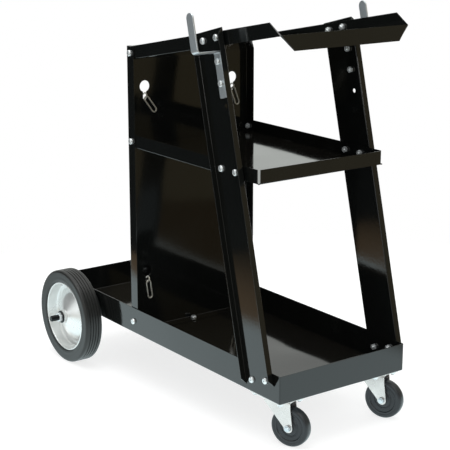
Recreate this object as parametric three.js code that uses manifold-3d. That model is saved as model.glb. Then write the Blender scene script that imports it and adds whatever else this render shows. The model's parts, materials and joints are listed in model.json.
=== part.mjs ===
// Welding cart: a folded sheet steel cart with a cylinder bay behind a cross panel, a middle shelf, leaning
// uprights, a sloping top shelf for the power source, cable hooks, two large rear wheels and two swivel casters.
//
// Units are millimetres. The cart frame has x forward from the rear end of the tray, y to the left and
// z up from the underside of the tray. The cart stands slightly nose-down, because the rear wheels stand
// taller than the casters, so the cart frame is tilted on to the floor at the end of the file.
import * as THREE from 'three';
import { mergeVertices } from 'three/addons/utils/BufferGeometryUtils.js';
import Module from 'manifold-3d';

const wasm = await Module();
wasm.setup();

// Sheet steel and the clearance that separates touching pieces
const SHEET = 1.5;
const GAP = 0.3;
const CUT = 2; // how far a cutter runs past the face that it cuts

// Base tray
const TRAY_LENGTH = 791;
const TRAY_WIDTH = 300;
const TRAY_HEIGHT = 54;

// Rear panel, which divides the cylinder bay from the front of the tray
const PANEL_X = 292.5; // its back face
const PANEL_TOP = 592.5;
const PANEL_FLANGE = 25;
const PANEL_TOP_FLANGE = 14;
const PANEL_TOP_RELIEF = 3; // notch between the top flange and the lips of the top shelf
const PANEL_BOLT_X = PANEL_X + 12; // bolt line of its flanges
const PANEL_TRAY_BOLT_Z = 25;
const PANEL_TOP_SHELF_BOLT_Z = 579;

// Keyholes for the two safety chains
const KEYHOLE_Y = 108;
const KEYHOLE_RADIUS = 11.6;
const KEYHOLE_SLOT = 8;
const KEYHOLE_DROP = 27.8; // from the centre of the round hole to the bottom of the slot
const KEYHOLE_UPPER_Z = 508.8;
const KEYHOLE_LOWER_Z = 125;

// Middle shelf
const SHELF_FRONT = 720.5;
const SHELF_BOTTOM = 390.5;
const SHELF_LIP = 26.5;
const SHELF_CORNER_SLIT = 3; // open corner between the side lips and the front lip

// Uprights: channels that lean back from the tray to the top shelf
const UPRIGHT_FOOT = { x: 694, z: 10.5 }; // lower end of the rear fold
const UPRIGHT_LEAN = THREE.MathUtils.degToRad(14.1);
const UPRIGHT_WIDTH = 84.5;
const UPRIGHT_LENGTH = 647;
const UPRIGHT_FLANGE = 12;
const BOLT_LINE_REAR = 21; // bolt lines across the web, from the rear fold
const BOLT_LINE_FRONT = 62.5;
const FOOT_BOLT_UP = 10; // bolt heights along the web
const TOP_SHELF_BOLT_UP = 631;
const SHELF_BOLT_Z = 403;

// Top shelf: one sheet that slopes down to the panel, its side lips turned up and its front lip turned down
const TOP_SHELF_REAR = { x: 300, z: 564.9 }; // lower rear corner
const TOP_SHELF_SLOPE = THREE.MathUtils.degToRad(10.8);
const TOP_SHELF_LENGTH = 487.4;
const TOP_SHELF_SIDE_LIP = 26;
const TOP_SHELF_FRONT_LIP = 26.5;

// Cable hooks: flat strap bent twice
const HOOK_WIDTH = 20;
const HOOK_THICKNESS = 3;
const HOOK_REACH = 53; // from the web to the outer face of the hook
const HOOK_BOTTOM = 523; // heights along the web
const HOOK_BEND = 607;
const HOOK_TIP = 678;
const HOOK_HOLES = [508.5, 549, 589]; // the lowest hole stays empty

// Fasteners: quarter-inch round-headed bolts and hex nuts
const BOLT_RADIUS = 3.2;
const BOLT_HOLE_RADIUS = 3.7;
const BOLT_HEAD_RADIUS = 6.2;
const BOLT_HEAD_HEIGHT = 4.4;
const NUT_RADIUS = 6.2;
const NUT_HEIGHT = 5;
const THREAD_END = 2.5;
const COLLAR_RADIUS = 6;

// Rear wheels and axle
const AXLE = { x: 86.3, z: -14.9 };
const AXLE_RADIUS = 6.35;
const AXLE_TIP_Y = 226;
const WHEEL_RADIUS = 101.6;
const TYRE_INNER_Y = 155.5;
const TYRE_WIDTH = 40;
const TYRE_SHOULDER = 5;
const RIM_RADIUS = 75.5;
const RIM_WALL = 2;
const RIM_INSET = 2.5; // from the side of the tyre to the edge of the rim
const RIM_RECESS = 24;
const HUB_RADIUS = 14;
const HUB_WALL = 4;
const HUB_END_Y = 199;
const AXLE_WASHER = { radius: 13.5, thickness: 2 };
const AXLE_NUT = { radius: 10.5, height: 6.5 };
const AXLE_COLLAR_RADIUS = 9.5;
const RUNNING_CLEARANCE = 0.06; // between the flats of a bush and its shaft
const BRACKET_Y = 128; // middle of the axle bracket's upright plate
const BRACKET_PLATE = 3;
const BRACKET_LENGTH = 56;
const BRACKET_DEPTH = 28;
const BRACKET_FLANGE = 24;

// Casters
const CASTER = { x: 740, y: 115 }; // swivel axis
const CASTER_HEADING = THREE.MathUtils.degToRad(23); // turned as if the cart was just pushed back
const CASTER_TRAIL = 29.5;
const CASTER_AXLE_DROP = 59.1;
const CASTER_WHEEL_RADIUS = 38.1;
const CASTER_WHEEL_WIDTH = 20;
const CASTER_PLATE = { length: 92, width: 64, thickness: 2.5 };
const CASTER_BOLT_SPACING = { x: 73, y: 45 };
const CASTER_BOLT_HOLE = 4.2;
const CASTER_AXLE_RADIUS = 4;
const CASTER_AXLE_HEAD = { radius: 6.5, height: 4 };
const CASTER_BUSH = { radius: 8, overhang: 0.6 };
const SWIVEL_RACE = { radius: 20, seat: 17, chamfer: 3 };
const KINGPIN = { radius: 5, headRadius: 9, headHeight: 2, tip: 1 };
const FORK_GAP = 22.4;
const FORK_PLATE = 2;
const FORK_TOP_DROP = 9.3;
const FORK_CROWN = { rear: -20, front: 33, depth: 5 };
const FORK_BOSS = 9;

// Safety chains, two of the same length
const CHAIN_WIRE = 3;
const LINK_PITCH = 36;
const LINK_WIDTH = 10; // between wire centres
const LINK_BITE = 0.8; // how far neighbouring links sink into each other, so that a chain is one body
const SLACK_LINKS = 11;
const SLOT_LINK_DIP = THREE.MathUtils.degToRad(30);
const SLOT_LINK_FRONT = 5; // how far the link in a slot comes out in front of the panel
const SLOT_LINK_UP = 11.6; // its height above the bottom of the slot

// Derived widths: the panel stands inside the tray, both shelves inside the panel's flanges,
// and the uprights outside the tray
const TRAY_HALF = TRAY_WIDTH / 2;
const PANEL_HALF = TRAY_HALF - SHEET - GAP;
const INNER_HALF = PANEL_HALF - SHEET - GAP;
const UPRIGHT_INNER = TRAY_HALF + GAP;
const UPRIGHT_OUTER = UPRIGHT_INNER + SHEET;
const SIDES = [{ name: 'right', sign: -1 }, { name: 'left', sign: 1 }];

// Flats round a turned piece, from the large to the small
const TYRE_FLATS = 40;
const WHEEL_FLATS = 32;
const RACE_FLATS = 24;
const SHAFT_FLATS = 20;
const PIN_FLATS = 16;
const BOLT_FLATS = 10;
const HEX = 6;

// Finishes
const finish = (color, roughness, metalness) => new THREE.MeshStandardMaterial({ color, roughness, metalness });
const BLACK_ENAMEL = finish('#141311', 0.12, 0);
const ZINC = finish('#aeb4b8', 0.35, 1);
const BRIGHT_ZINC = finish('#d5dbdd', 0.25, 1);
const TYRE_RUBBER = finish('#343536', 0.7, 0);
const CASTER_RUBBER = finish('#2b2d30', 0.5, 0);
const BLACK_STEEL = finish('#0c0d0f', 0.4, 0.5);
const NYLON = finish('#1e1f21', 0.5, 0);
const CHAIN_STEEL = finish('#b9bbb4', 0.35, 1);

// Closed solids: joins and cuts are made on these, then turned back into meshes
function solid(geometry) {
  const bare = geometry.clone();
  bare.deleteAttribute('normal');
  bare.deleteAttribute('uv');
  const merged = mergeVertices(bare, 1e-3);
  const corners = merged.index.array;
  const triangles = [];
  for (let i = 0; i < corners.length; i += 3) {
    const [a, b, c] = corners.slice(i, i + 3);
    if (a !== b && b !== c && c !== a) triangles.push(a, b, c);
  }
  const make = (order) => new wasm.Manifold(new wasm.Mesh({
    numProp: 3,
    vertProperties: new Float32Array(merged.attributes.position.array),
    triVerts: new Uint32Array(order),
  }));
  const first = make(triangles);
  return first.volume() > 0 ? first : make(triangles.reverse());
}

function mesh(name, body, material) {
  const { vertProperties, triVerts } = body.getMesh();
  const geometry = new THREE.BufferGeometry();
  geometry.setAttribute('position', new THREE.BufferAttribute(vertProperties, 3));
  geometry.setIndex(new THREE.BufferAttribute(triVerts, 1));
  geometry.computeVertexNormals();
  const part = new THREE.Mesh(geometry, material);
  part.name = name;
  return part;
}

const join = (...bodies) => bodies.reduce((sum, body) => sum.add(body));
const cut = (body, cutters) => cutters.reduce((rest, cutter) => rest.subtract(cutter), body);

function box([x0, x1], [y0, y1], [z0, z1]) {
  const geometry = new THREE.BoxGeometry(Math.abs(x1 - x0), Math.abs(y1 - y0), Math.abs(z1 - z0));
  return solid(geometry.translate((x0 + x1) / 2, (y0 + y1) / 2, (z0 + z1) / 2));
}

// A round or six-sided bar along y, from y0 to y1
function barY(radius, x, z, y0, y1, flats = BOLT_FLATS) {
  const geometry = new THREE.CylinderGeometry(radius, radius, Math.abs(y1 - y0), flats);
  return solid(geometry.translate(x, (y0 + y1) / 2, z));
}

function barZ(radius, x, y, z0, z1, flats = BOLT_FLATS) {
  const geometry = new THREE.CylinderGeometry(radius, radius, Math.abs(z1 - z0), flats);
  return solid(geometry.rotateX(Math.PI / 2).translate(x, y, (z0 + z1) / 2));
}

// A body turned about the y axis from a closed outline of [radius, y] points
function turned(outline, flats) {
  const points = [...outline, outline[0]].map(([radius, y]) => new THREE.Vector2(radius, y));
  return solid(new THREE.LatheGeometry(points, flats));
}

// A plain sleeve about the y axis. The flats of its bore, and not only its corners, stay `inner` away
// from the axis, so that a shaft can turn in it.
function sleeve(inner, outer, y0, y1, flats) {
  const bore = inner / Math.cos(Math.PI / flats);
  return turned([[bore, y0], [outer, y0], [outer, y1], [bore, y1]], flats);
}

// A flat plate in the x-z plane, drawn as [x, z] points and reaching from y0 to y1
function plateY(outline, y0, y1) {
  const shape = new THREE.Shape(outline.map(([x, z]) => new THREE.Vector2(x, z)));
  const geometry = new THREE.ExtrudeGeometry(shape, { depth: Math.abs(y1 - y0), bevelEnabled: false });
  return solid(geometry.rotateX(Math.PI / 2).translate(0, Math.max(y0, y1), 0));
}

// A flat plate in the y-z plane, drawn as [y, z] points and reaching from x0 to x1
function plateX(outline, x0, x1) {
  const shape = new THREE.Shape(outline.map(([y, z]) => new THREE.Vector2(y, z)));
  const geometry = new THREE.ExtrudeGeometry(shape, { depth: x1 - x0, bevelEnabled: false });
  return solid(geometry.rotateX(Math.PI / 2).rotateZ(Math.PI / 2).translate(x0, 0, 0));
}

// Points round part of a circle, between two angles in degrees
function arc(x, z, radius, from, to) {
  const steps = 6;
  return Array.from({ length: steps + 1 }, (_, step) => {
    const angle = THREE.MathUtils.degToRad(THREE.MathUtils.lerp(from, to, step / steps));
    return [x + radius * Math.cos(angle), z + radius * Math.sin(angle)];
  });
}

// Where a point on an upright's web lies in the cart frame, and back again
function uprightToCart(across, up) {
  return {
    x: UPRIGHT_FOOT.x + across * Math.cos(UPRIGHT_LEAN) - up * Math.sin(UPRIGHT_LEAN),
    z: UPRIGHT_FOOT.z + across * Math.sin(UPRIGHT_LEAN) + up * Math.cos(UPRIGHT_LEAN),
  };
}

function cartToFrame(point, origin, slope) {
  const dx = point.x - origin.x;
  const dz = point.z - origin.z;
  return { x: dx * Math.cos(slope) + dz * Math.sin(slope), z: dz * Math.cos(slope) - dx * Math.sin(slope) };
}

// The place on a bolt line of the web that lies at a given height of the cart
function uprightAtHeight(across, z) {
  const up = (z - UPRIGHT_FOOT.z - across * Math.sin(UPRIGHT_LEAN)) / Math.cos(UPRIGHT_LEAN);
  return uprightToCart(across, up);
}

// Bolt places in the cart frame
const BOLT_LINES = [{ name: 'rear', across: BOLT_LINE_REAR }, { name: 'front', across: BOLT_LINE_FRONT }];
const FOOT_BOLTS = BOLT_LINES.map(({ across }) => uprightToCart(across, FOOT_BOLT_UP));
const SHELF_BOLTS = BOLT_LINES.map(({ across }) => uprightAtHeight(across, SHELF_BOLT_Z));
const TOP_SHELF_BOLTS = BOLT_LINES.map(({ across }) => uprightToCart(across, TOP_SHELF_BOLT_UP));
const HOOK_PLACES = HOOK_HOLES.map((up) => uprightToCart(BOLT_LINE_FRONT, up));
const PANEL_BOLTS = {
  tray: { x: PANEL_BOLT_X, z: PANEL_TRAY_BOLT_Z },
  shelf: { x: PANEL_BOLT_X, z: SHELF_BOLT_Z },
  topShelf: { x: PANEL_BOLT_X, z: PANEL_TOP_SHELF_BOLT_Z },
};

// A hole through both sides of the cart, for the bolts on the right and on the left
function sideHoles(places, reach) {
  return places.map(({ x, z }) => barY(BOLT_HOLE_RADIUS, x, z, -reach, reach));
}

// The inside of the tray is cut in three lengths, so that the floor of the cylinder bay, the strip under
// the panel and the floor in front of it are faces of their own
function baseTray() {
  const shell = box([0, TRAY_LENGTH], [-TRAY_HALF, TRAY_HALF], [0, TRAY_HEIGHT]);
  const panelRear = PANEL_X - GAP;
  const panelFront = PANEL_X + PANEL_FLANGE + GAP;
  const lengths = [[SHEET, panelRear], [panelRear, panelFront], [panelFront, TRAY_LENGTH - SHEET]];
  const insides = lengths.map((length) => (
    box(length, [SHEET - TRAY_HALF, TRAY_HALF - SHEET], [SHEET, TRAY_HEIGHT + CUT])
  ));
  return cut(shell, [
    ...insides,
    ...sideHoles([...FOOT_BOLTS, PANEL_BOLTS.tray], TRAY_HALF + CUT),
    barZ(BOLT_HOLE_RADIUS, PANEL_BOLT_X, 0, -CUT, SHEET + CUT),
  ]);
}

function keyhole(y, z) {
  const reach = [PANEL_X - CUT, PANEL_X + SHEET + CUT];
  const half = KEYHOLE_SLOT / 2;
  const slotEnd = z - KEYHOLE_DROP + half;
  const disc = (radius, middle, flats) => {
    const geometry = new THREE.CylinderGeometry(radius, radius, reach[1] - reach[0], flats);
    return solid(geometry.rotateZ(Math.PI / 2).translate((reach[0] + reach[1]) / 2, y, middle));
  };
  const slot = box(reach, [y - half, y + half], [slotEnd, z]);
  return join(disc(KEYHOLE_RADIUS, z, SHAFT_FLATS), disc(half, slotEnd, BOLT_FLATS), slot);
}

function rearPanel() {
  const bottom = SHEET + GAP;
  const front = PANEL_X + PANEL_FLANGE;
  const shell = box([PANEL_X, front], [-PANEL_HALF, PANEL_HALF], [bottom, PANEL_TOP]);
  const inside = box(
    [PANEL_X + SHEET, front + CUT],
    [SHEET - PANEL_HALF, PANEL_HALF - SHEET],
    [bottom + SHEET, PANEL_TOP + CUT],
  );
  const topHalf = INNER_HALF - SHEET - PANEL_TOP_RELIEF;
  const topFlange = box([PANEL_X, PANEL_X + PANEL_TOP_FLANGE], [-topHalf, topHalf], [PANEL_TOP - SHEET, PANEL_TOP]);
  const keyholes = [KEYHOLE_UPPER_Z, KEYHOLE_LOWER_Z].flatMap((z) => [keyhole(-KEYHOLE_Y, z), keyhole(KEYHOLE_Y, z)]);
  return cut(join(cut(shell, [inside]), topFlange), [
    ...keyholes,
    ...sideHoles(Object.values(PANEL_BOLTS), TRAY_HALF),
    barZ(BOLT_HOLE_RADIUS, PANEL_BOLT_X, 0, 0, bottom + SHEET + CUT),
  ]);
}

function middleShelf() {
  const rear = PANEL_X + SHEET + GAP;
  const top = SHELF_BOTTOM + SHELF_LIP;
  const lipEnd = SHELF_FRONT - SHEET - SHELF_CORNER_SLIT;
  const frontHalf = INNER_HALF - SHEET - SHELF_CORNER_SLIT;
  const floor = box([rear, SHELF_FRONT], [-INNER_HALF, INNER_HALF], [SHELF_BOTTOM, SHELF_BOTTOM + SHEET]);
  const frontLip = box([SHELF_FRONT - SHEET, SHELF_FRONT], [-frontHalf, frontHalf], [SHELF_BOTTOM, top]);
  const sideLips = SIDES.map(({ sign }) => box(
    [rear, lipEnd],
    [sign * (INNER_HALF - SHEET), sign * INNER_HALF],
    [SHELF_BOTTOM, top],
  ));
  return cut(join(floor, frontLip, ...sideLips), sideHoles([...SHELF_BOLTS, PANEL_BOLTS.shelf], TRAY_HALF));
}

// Pieces of one side are drawn in the upright's own frame: x across the web, z along it, y outward
function upright(sign) {
  const web = box([0, UPRIGHT_WIDTH], [0, sign * SHEET], [0, UPRIGHT_LENGTH]);
  const reach = UPRIGHT_FLANGE * sign;
  const flangeOutline = [
    [0, 0],
    [reach, UPRIGHT_FLANGE],
    [reach, UPRIGHT_LENGTH - UPRIGHT_FLANGE],
    [0, UPRIGHT_LENGTH],
  ];
  const rearFlange = plateX(flangeOutline, 0, SHEET);
  const frontFlange = plateX(flangeOutline, UPRIGHT_WIDTH - SHEET, UPRIGHT_WIDTH);
  const holes = [...FOOT_BOLTS, ...SHELF_BOLTS, ...TOP_SHELF_BOLTS, ...HOOK_PLACES].map((place) => {
    const { x, z } = cartToFrame(place, UPRIGHT_FOOT, UPRIGHT_LEAN);
    return barY(BOLT_HOLE_RADIUS, x, z, sign * -CUT, sign * (CUT + SHEET));
  });
  return cut(join(web, rearFlange, frontFlange), holes);
}

function cableHook(sign) {
  const half = HOOK_WIDTH / 2;
  const left = BOLT_LINE_FRONT - half;
  const right = BOLT_LINE_FRONT + half;
  const inner = SHEET + GAP;
  const lower = box([left, right], [sign * inner, sign * (inner + HOOK_THICKNESS)], [HOOK_BOTTOM, HOOK_BEND]);
  const across = box([left, right], [sign * inner, sign * HOOK_REACH], [HOOK_BEND - HOOK_THICKNESS, HOOK_BEND]);
  const tip = arc(BOLT_LINE_FRONT, HOOK_TIP - half, half, 0, 180);
  const foot = HOOK_BEND - HOOK_THICKNESS;
  const raised = plateY(
    [[left, foot], [right, foot], ...tip],
    sign * (HOOK_REACH - HOOK_THICKNESS),
    sign * HOOK_REACH,
  );
  const holes = HOOK_HOLES.slice(1).map((up) => (
    barY(BOLT_HOLE_RADIUS, BOLT_LINE_FRONT, up, 0, sign * (inner + HOOK_THICKNESS + CUT))
  ));
  return cut(join(lower, across, raised), holes);
}

// The top shelf is drawn in its own frame: x along its slope, z square to it
function topShelf() {
  const floor = box([0, TOP_SHELF_LENGTH], [-INNER_HALF, INNER_HALF], [0, SHEET]);
  const lipEnd = TOP_SHELF_LENGTH - TOP_SHELF_SIDE_LIP;
  const sideOutline = [[0, 0], [TOP_SHELF_LENGTH, 0], [lipEnd, TOP_SHELF_SIDE_LIP], [0, TOP_SHELF_SIDE_LIP]];
  const sideLips = SIDES.map(({ sign }) => (
    plateY(sideOutline, sign * (INNER_HALF - SHEET), sign * INNER_HALF)
  ));
  const lowHalf = INNER_HALF - TOP_SHELF_FRONT_LIP;
  const frontLip = plateX(
    [[-INNER_HALF, SHEET], [-lowHalf, -TOP_SHELF_FRONT_LIP], [lowHalf, -TOP_SHELF_FRONT_LIP], [INNER_HALF, SHEET]],
    TOP_SHELF_LENGTH - SHEET,
    TOP_SHELF_LENGTH,
  );
  const holes = [...TOP_SHELF_BOLTS, PANEL_BOLTS.topShelf].map((place) => {
    const { x, z } = cartToFrame(place, TOP_SHELF_REAR, TOP_SHELF_SLOPE);
    return barY(BOLT_HOLE_RADIUS, x, z, -TRAY_HALF, TRAY_HALF);
  });
  return cut(join(floor, frontLip, ...sideLips), holes);
}

// A bolt along y: the head sits outside the face at `outer`, the nut inside the face at `inner`,
// and a collar fills the space between two sheets that stand apart
function sideBolt(sign, { x, z }, outer, inner, collar) {
  const headFace = outer + GAP;
  const nutFace = inner - GAP;
  const pieces = [
    barY(BOLT_HEAD_RADIUS, x, z, sign * headFace, sign * (headFace + BOLT_HEAD_HEIGHT)),
    barY(BOLT_RADIUS, x, z, sign * (headFace + GAP), sign * (nutFace - NUT_HEIGHT - THREAD_END), HEX),
    barY(NUT_RADIUS, x, z, sign * nutFace, sign * (nutFace - NUT_HEIGHT), HEX),
  ];
  if (collar) pieces.push(barY(COLLAR_RADIUS, x, z, sign * collar[0], sign * collar[1]));
  return join(...pieces);
}

function floorBolt() {
  const top = SHEET + GAP + SHEET + GAP;
  return join(
    barZ(BOLT_HEAD_RADIUS, PANEL_BOLT_X, 0, top, top + BOLT_HEAD_HEIGHT),
    barZ(BOLT_RADIUS, PANEL_BOLT_X, 0, top + GAP, -GAP - NUT_HEIGHT - THREAD_END, HEX),
    barZ(NUT_RADIUS, PANEL_BOLT_X, 0, -GAP, -GAP - NUT_HEIGHT, HEX),
  );
}

// Rear axle, its brackets and the wheels, which are drawn on the left and turned round for the right
function axleBracket(sign) {
  const half = BRACKET_LENGTH / 2;
  const outline = [
    [-half, -GAP],
    [-half, -GAP - BRACKET_PLATE],
    [-half / 2, -BRACKET_DEPTH],
    [half / 2, -BRACKET_DEPTH],
    [half, -GAP - BRACKET_PLATE],
    [half, -GAP],
  ];
  const plate = plateY(outline, sign * (BRACKET_Y - BRACKET_PLATE / 2), sign * (BRACKET_Y + BRACKET_PLATE / 2));
  const flange = box(
    [-half, half],
    [sign * (BRACKET_Y - BRACKET_FLANGE), sign * (BRACKET_Y + BRACKET_PLATE / 2)],
    [-GAP - BRACKET_PLATE, -GAP],
  );
  const reach = BRACKET_Y + CUT + BRACKET_PLATE;
  return cut(join(plate, flange), [barY(AXLE_RADIUS + GAP, 0, AXLE.z, 0, sign * reach, SHAFT_FLATS)]);
}

function tyre() {
  const low = TYRE_INNER_Y;
  const high = TYRE_INNER_Y + TYRE_WIDTH;
  const seat = RIM_RADIUS + GAP;
  const side = WHEEL_RADIUS - TYRE_SHOULDER;
  const bevel = TYRE_SHOULDER * 0.3;
  return turned([
    [seat, low + RIM_WALL],
    [side, low],
    [WHEEL_RADIUS - bevel, low + bevel],
    [WHEEL_RADIUS, low + TYRE_SHOULDER],
    [WHEEL_RADIUS, high - TYRE_SHOULDER],
    [WHEEL_RADIUS - bevel, high - bevel],
    [side, high],
    [seat, high - RIM_WALL],
  ], TYRE_FLATS);
}

// Pressed rim: a band under the tyre, a deep recess on the outer side and a dome that rises to the hub
function rim() {
  const low = TYRE_INNER_Y + RIM_INSET;
  const high = TYRE_INNER_Y + TYRE_WIDTH - RIM_INSET;
  const floorY = high - RIM_RECESS;
  const band = RIM_RADIUS - RIM_WALL;
  const bore = HUB_RADIUS - HUB_WALL;
  const domeOutside = [[58, 0.5], [53, 5], [44, 10.5], [32, 15.5]].map(([radius, rise]) => [radius, floorY + rise]);
  const domeInside = [[31.2, 13.5], [42.8, 8.8], [51.4, 3.6], [57.2, -1.5]].map(([radius, rise]) => [radius, floorY + rise]);
  return turned([
    [RIM_RADIUS, low],
    [RIM_RADIUS, high],
    [band, high],
    [band - 4, floorY + RIM_WALL],
    [band - 10, floorY],
    ...domeOutside,
    [HUB_RADIUS, HUB_END_Y - 8],
    [HUB_RADIUS, HUB_END_Y],
    [bore, HUB_END_Y],
    [bore, low],
    [HUB_RADIUS, low],
    [HUB_RADIUS, HUB_END_Y - 13],
    ...domeInside,
    [band - 11, floorY - RIM_WALL],
    [band - 5, floorY - RIM_WALL],
    [band, low],
  ], WHEEL_FLATS);
}

function hubBush() {
  const outer = HUB_RADIUS - HUB_WALL - GAP;
  return sleeve(AXLE_RADIUS + RUNNING_CLEARANCE, outer, TYRE_INNER_Y + RIM_INSET, HUB_END_Y, SHAFT_FLATS);
}

function axleWasher() {
  const low = HUB_END_Y + GAP;
  return sleeve(AXLE_RADIUS + GAP, AXLE_WASHER.radius, low, low + AXLE_WASHER.thickness, SHAFT_FLATS);
}

function axleNut() {
  const low = HUB_END_Y + GAP + AXLE_WASHER.thickness + GAP;
  const high = low + AXLE_NUT.height;
  const bore = barY(AXLE_RADIUS + GAP, 0, 0, low - CUT, high + CUT, SHAFT_FLATS);
  return cut(barY(AXLE_NUT.radius, 0, 0, low, high, HEX), [bore]);
}

function axleCollar() {
  const low = BRACKET_Y + BRACKET_PLATE / 2 + GAP;
  const high = TYRE_INNER_Y + RIM_INSET - GAP;
  return sleeve(AXLE_RADIUS + GAP, AXLE_COLLAR_RADIUS, low, high, SHAFT_FLATS);
}

// Casters, drawn about the swivel axis with x along the trail
function casterPlate() {
  const { length, width, thickness } = CASTER_PLATE;
  const bottom = -GAP - thickness;
  const plate = box([-length / 2, length / 2], [-width / 2, width / 2], [bottom, -GAP]);
  const holes = [-1, 1].flatMap((alongX) => [-1, 1].map((alongY) => {
    const x = (alongX * CASTER_BOLT_SPACING.x) / 2;
    const y = (alongY * CASTER_BOLT_SPACING.y) / 2;
    return barZ(CASTER_BOLT_HOLE, x, y, bottom - CUT, CUT);
  }));
  return cut(plate, holes);
}

function swivelRace() {
  const { radius, seat, chamfer } = SWIVEL_RACE;
  const top = -2 * GAP - CASTER_PLATE.thickness;
  const seatZ = -FORK_TOP_DROP + GAP;
  const head = -FORK_TOP_DROP - FORK_PLATE - GAP;
  const headEnd = head - KINGPIN.headHeight;
  const spool = turned([
    [0, top],
    [radius, top],
    [radius, seatZ + chamfer],
    [seat, seatZ],
    [KINGPIN.radius, seatZ],
    [KINGPIN.radius, head],
    [KINGPIN.headRadius, head],
    [KINGPIN.headRadius, headEnd],
    [0, headEnd - KINGPIN.tip],
  ], RACE_FLATS);
  return spool.rotate([90, 0, 0]);
}

function casterFork() {
  const { rear, front, depth } = FORK_CROWN;
  const half = FORK_GAP / 2 + FORK_PLATE;
  const top = -FORK_TOP_DROP;
  const boss = arc(CASTER_TRAIL, -CASTER_AXLE_DROP, FORK_BOSS, -145, 5);
  const legOutline = [[rear, top], [rear, top - depth], ...boss, [front, top - depth], [front, top]];
  const legs = [-1, 1].map((sign) => plateY(legOutline, (sign * FORK_GAP) / 2, sign * half));
  const crown = box([rear, front], [-half, half], [top - FORK_PLATE, top]);
  return cut(join(crown, ...legs), [
    barZ(KINGPIN.radius + GAP, 0, 0, top - FORK_PLATE - CUT, top + CUT, RACE_FLATS),
    barY(CASTER_AXLE_RADIUS + GAP, CASTER_TRAIL, -CASTER_AXLE_DROP, -half - CUT, half + CUT, PIN_FLATS),
  ]);
}

function casterWheel() {
  const half = CASTER_WHEEL_WIDTH / 2;
  const bore = CASTER_BUSH.radius + GAP;
  const edge = 5;
  const recess = { inner: 15, outer: 26, depth: 2 };
  const boss = 12;
  const halfOutline = [
    [CASTER_WHEEL_RADIUS, half - edge],
    [CASTER_WHEEL_RADIUS - edge, half],
    [recess.outer, half - recess.depth],
    [recess.inner, half - recess.depth],
    [boss, half],
    [bore, half],
  ];
  const otherHalf = halfOutline.map(([radius, y]) => [radius, -y]).reverse();
  return turned([...otherHalf, ...halfOutline], WHEEL_FLATS);
}

function casterBush() {
  const half = CASTER_WHEEL_WIDTH / 2 + CASTER_BUSH.overhang;
  return sleeve(CASTER_AXLE_RADIUS + RUNNING_CLEARANCE, CASTER_BUSH.radius, -half, half, SHAFT_FLATS);
}

function casterAxle() {
  const { radius, height } = CASTER_AXLE_HEAD;
  const half = FORK_GAP / 2 + FORK_PLATE + GAP;
  return join(
    barY(CASTER_AXLE_RADIUS, 0, 0, -half - GAP, half + GAP, PIN_FLATS),
    barY(radius, 0, 0, half, half + height, HEX),
    barY(radius, 0, 0, -half, -half - height, HEX),
  );
}

// One chain link: a wire bent to a long ring, from a list of points round its middle line
function ringOfWire() {
  const bend = LINK_WIDTH / 2;
  const straight = (LINK_PITCH + CHAIN_WIRE - LINK_BITE) / 2 - bend;
  const steps = 3;
  const flats = 5;
  const path = [1, -1].flatMap((end) => Array.from({ length: steps + 1 }, (_, step) => {
    const angle = (step / steps - 0.5) * Math.PI;
    const out = new THREE.Vector3(Math.cos(angle), Math.sin(angle), 0).multiplyScalar(end);
    return { out, middle: out.clone().multiplyScalar(bend).add(new THREE.Vector3(end * straight, 0, 0)) };
  }));
  const points = path.flatMap(({ out, middle }) => Array.from({ length: flats }, (_, side) => {
    const angle = (side / flats) * 2 * Math.PI;
    const offset = out.clone().multiplyScalar(Math.cos(angle)).add(new THREE.Vector3(0, 0, Math.sin(angle)));
    return offset.multiplyScalar(CHAIN_WIRE / 2).add(middle);
  }));
  const index = [];
  const at = (ring, side) => (ring % path.length) * flats + (side % flats);
  for (let ring = 0; ring < path.length; ring += 1) {
    for (let side = 0; side < flats; side += 1) {
      index.push(at(ring, side), at(ring + 1, side), at(ring + 1, side + 1));
      index.push(at(ring, side), at(ring + 1, side + 1), at(ring, side + 1));
    }
  }
  return new THREE.BufferGeometry().setFromPoints(points).setIndex(index);
}

// A link from one joint to the next, whose ring lies as near as it can to the direction `wide`
function linkBetween(start, end, wide) {
  const along = end.clone().sub(start).normalize();
  const across = wide.clone().addScaledVector(along, -wide.dot(along)).normalize();
  const basis = new THREE.Matrix4().makeBasis(along, across, along.clone().cross(across));
  basis.setPosition(start.clone().add(end).multiplyScalar(0.5));
  return solid(ringOfWire().applyMatrix4(basis));
}

const X_AXIS = new THREE.Vector3(1, 0, 0);
const Z_AXIS = new THREE.Vector3(0, 0, 1);

// Both ends of a chain pass through the slots of a pair of keyholes. A last link hangs in front of the
// panel at each end and stops the chain from pulling back through.
function chainEnds(keyholeZ, swing) {
  const front = PANEL_X + SHEET + SLOT_LINK_FRONT;
  const height = keyholeZ - KEYHOLE_DROP + SLOT_LINK_UP;
  return SIDES.map(({ sign }) => {
    const outer = new THREE.Vector3(front, sign * KEYHOLE_Y, height);
    const inward = new THREE.Vector3(-Math.cos(SLOT_LINK_DIP), 0, -Math.sin(SLOT_LINK_DIP));
    const inner = outer.clone().addScaledVector(inward, LINK_PITCH);
    const eye = outer.clone().addScaledVector(inward, LINK_WIDTH / 2 - CHAIN_WIRE / 2);
    const hang = THREE.MathUtils.degToRad(sign < 0 ? swing.right : swing.left);
    const down = new THREE.Vector3(0, Math.sin(hang), -Math.cos(hang));
    const top = eye.clone()
      .addScaledVector(Z_AXIS, LINK_BITE + CHAIN_WIRE / 2 - LINK_WIDTH / 2)
      .addScaledVector(down, (CHAIN_WIRE - LINK_BITE) / 2);
    const links = [
      linkBetween(outer, inner, Z_AXIS),
      linkBetween(top, top.clone().addScaledVector(down, LINK_PITCH), new THREE.Vector3(0, 1, 0)),
    ];
    return { inner, links };
  });
}

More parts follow.
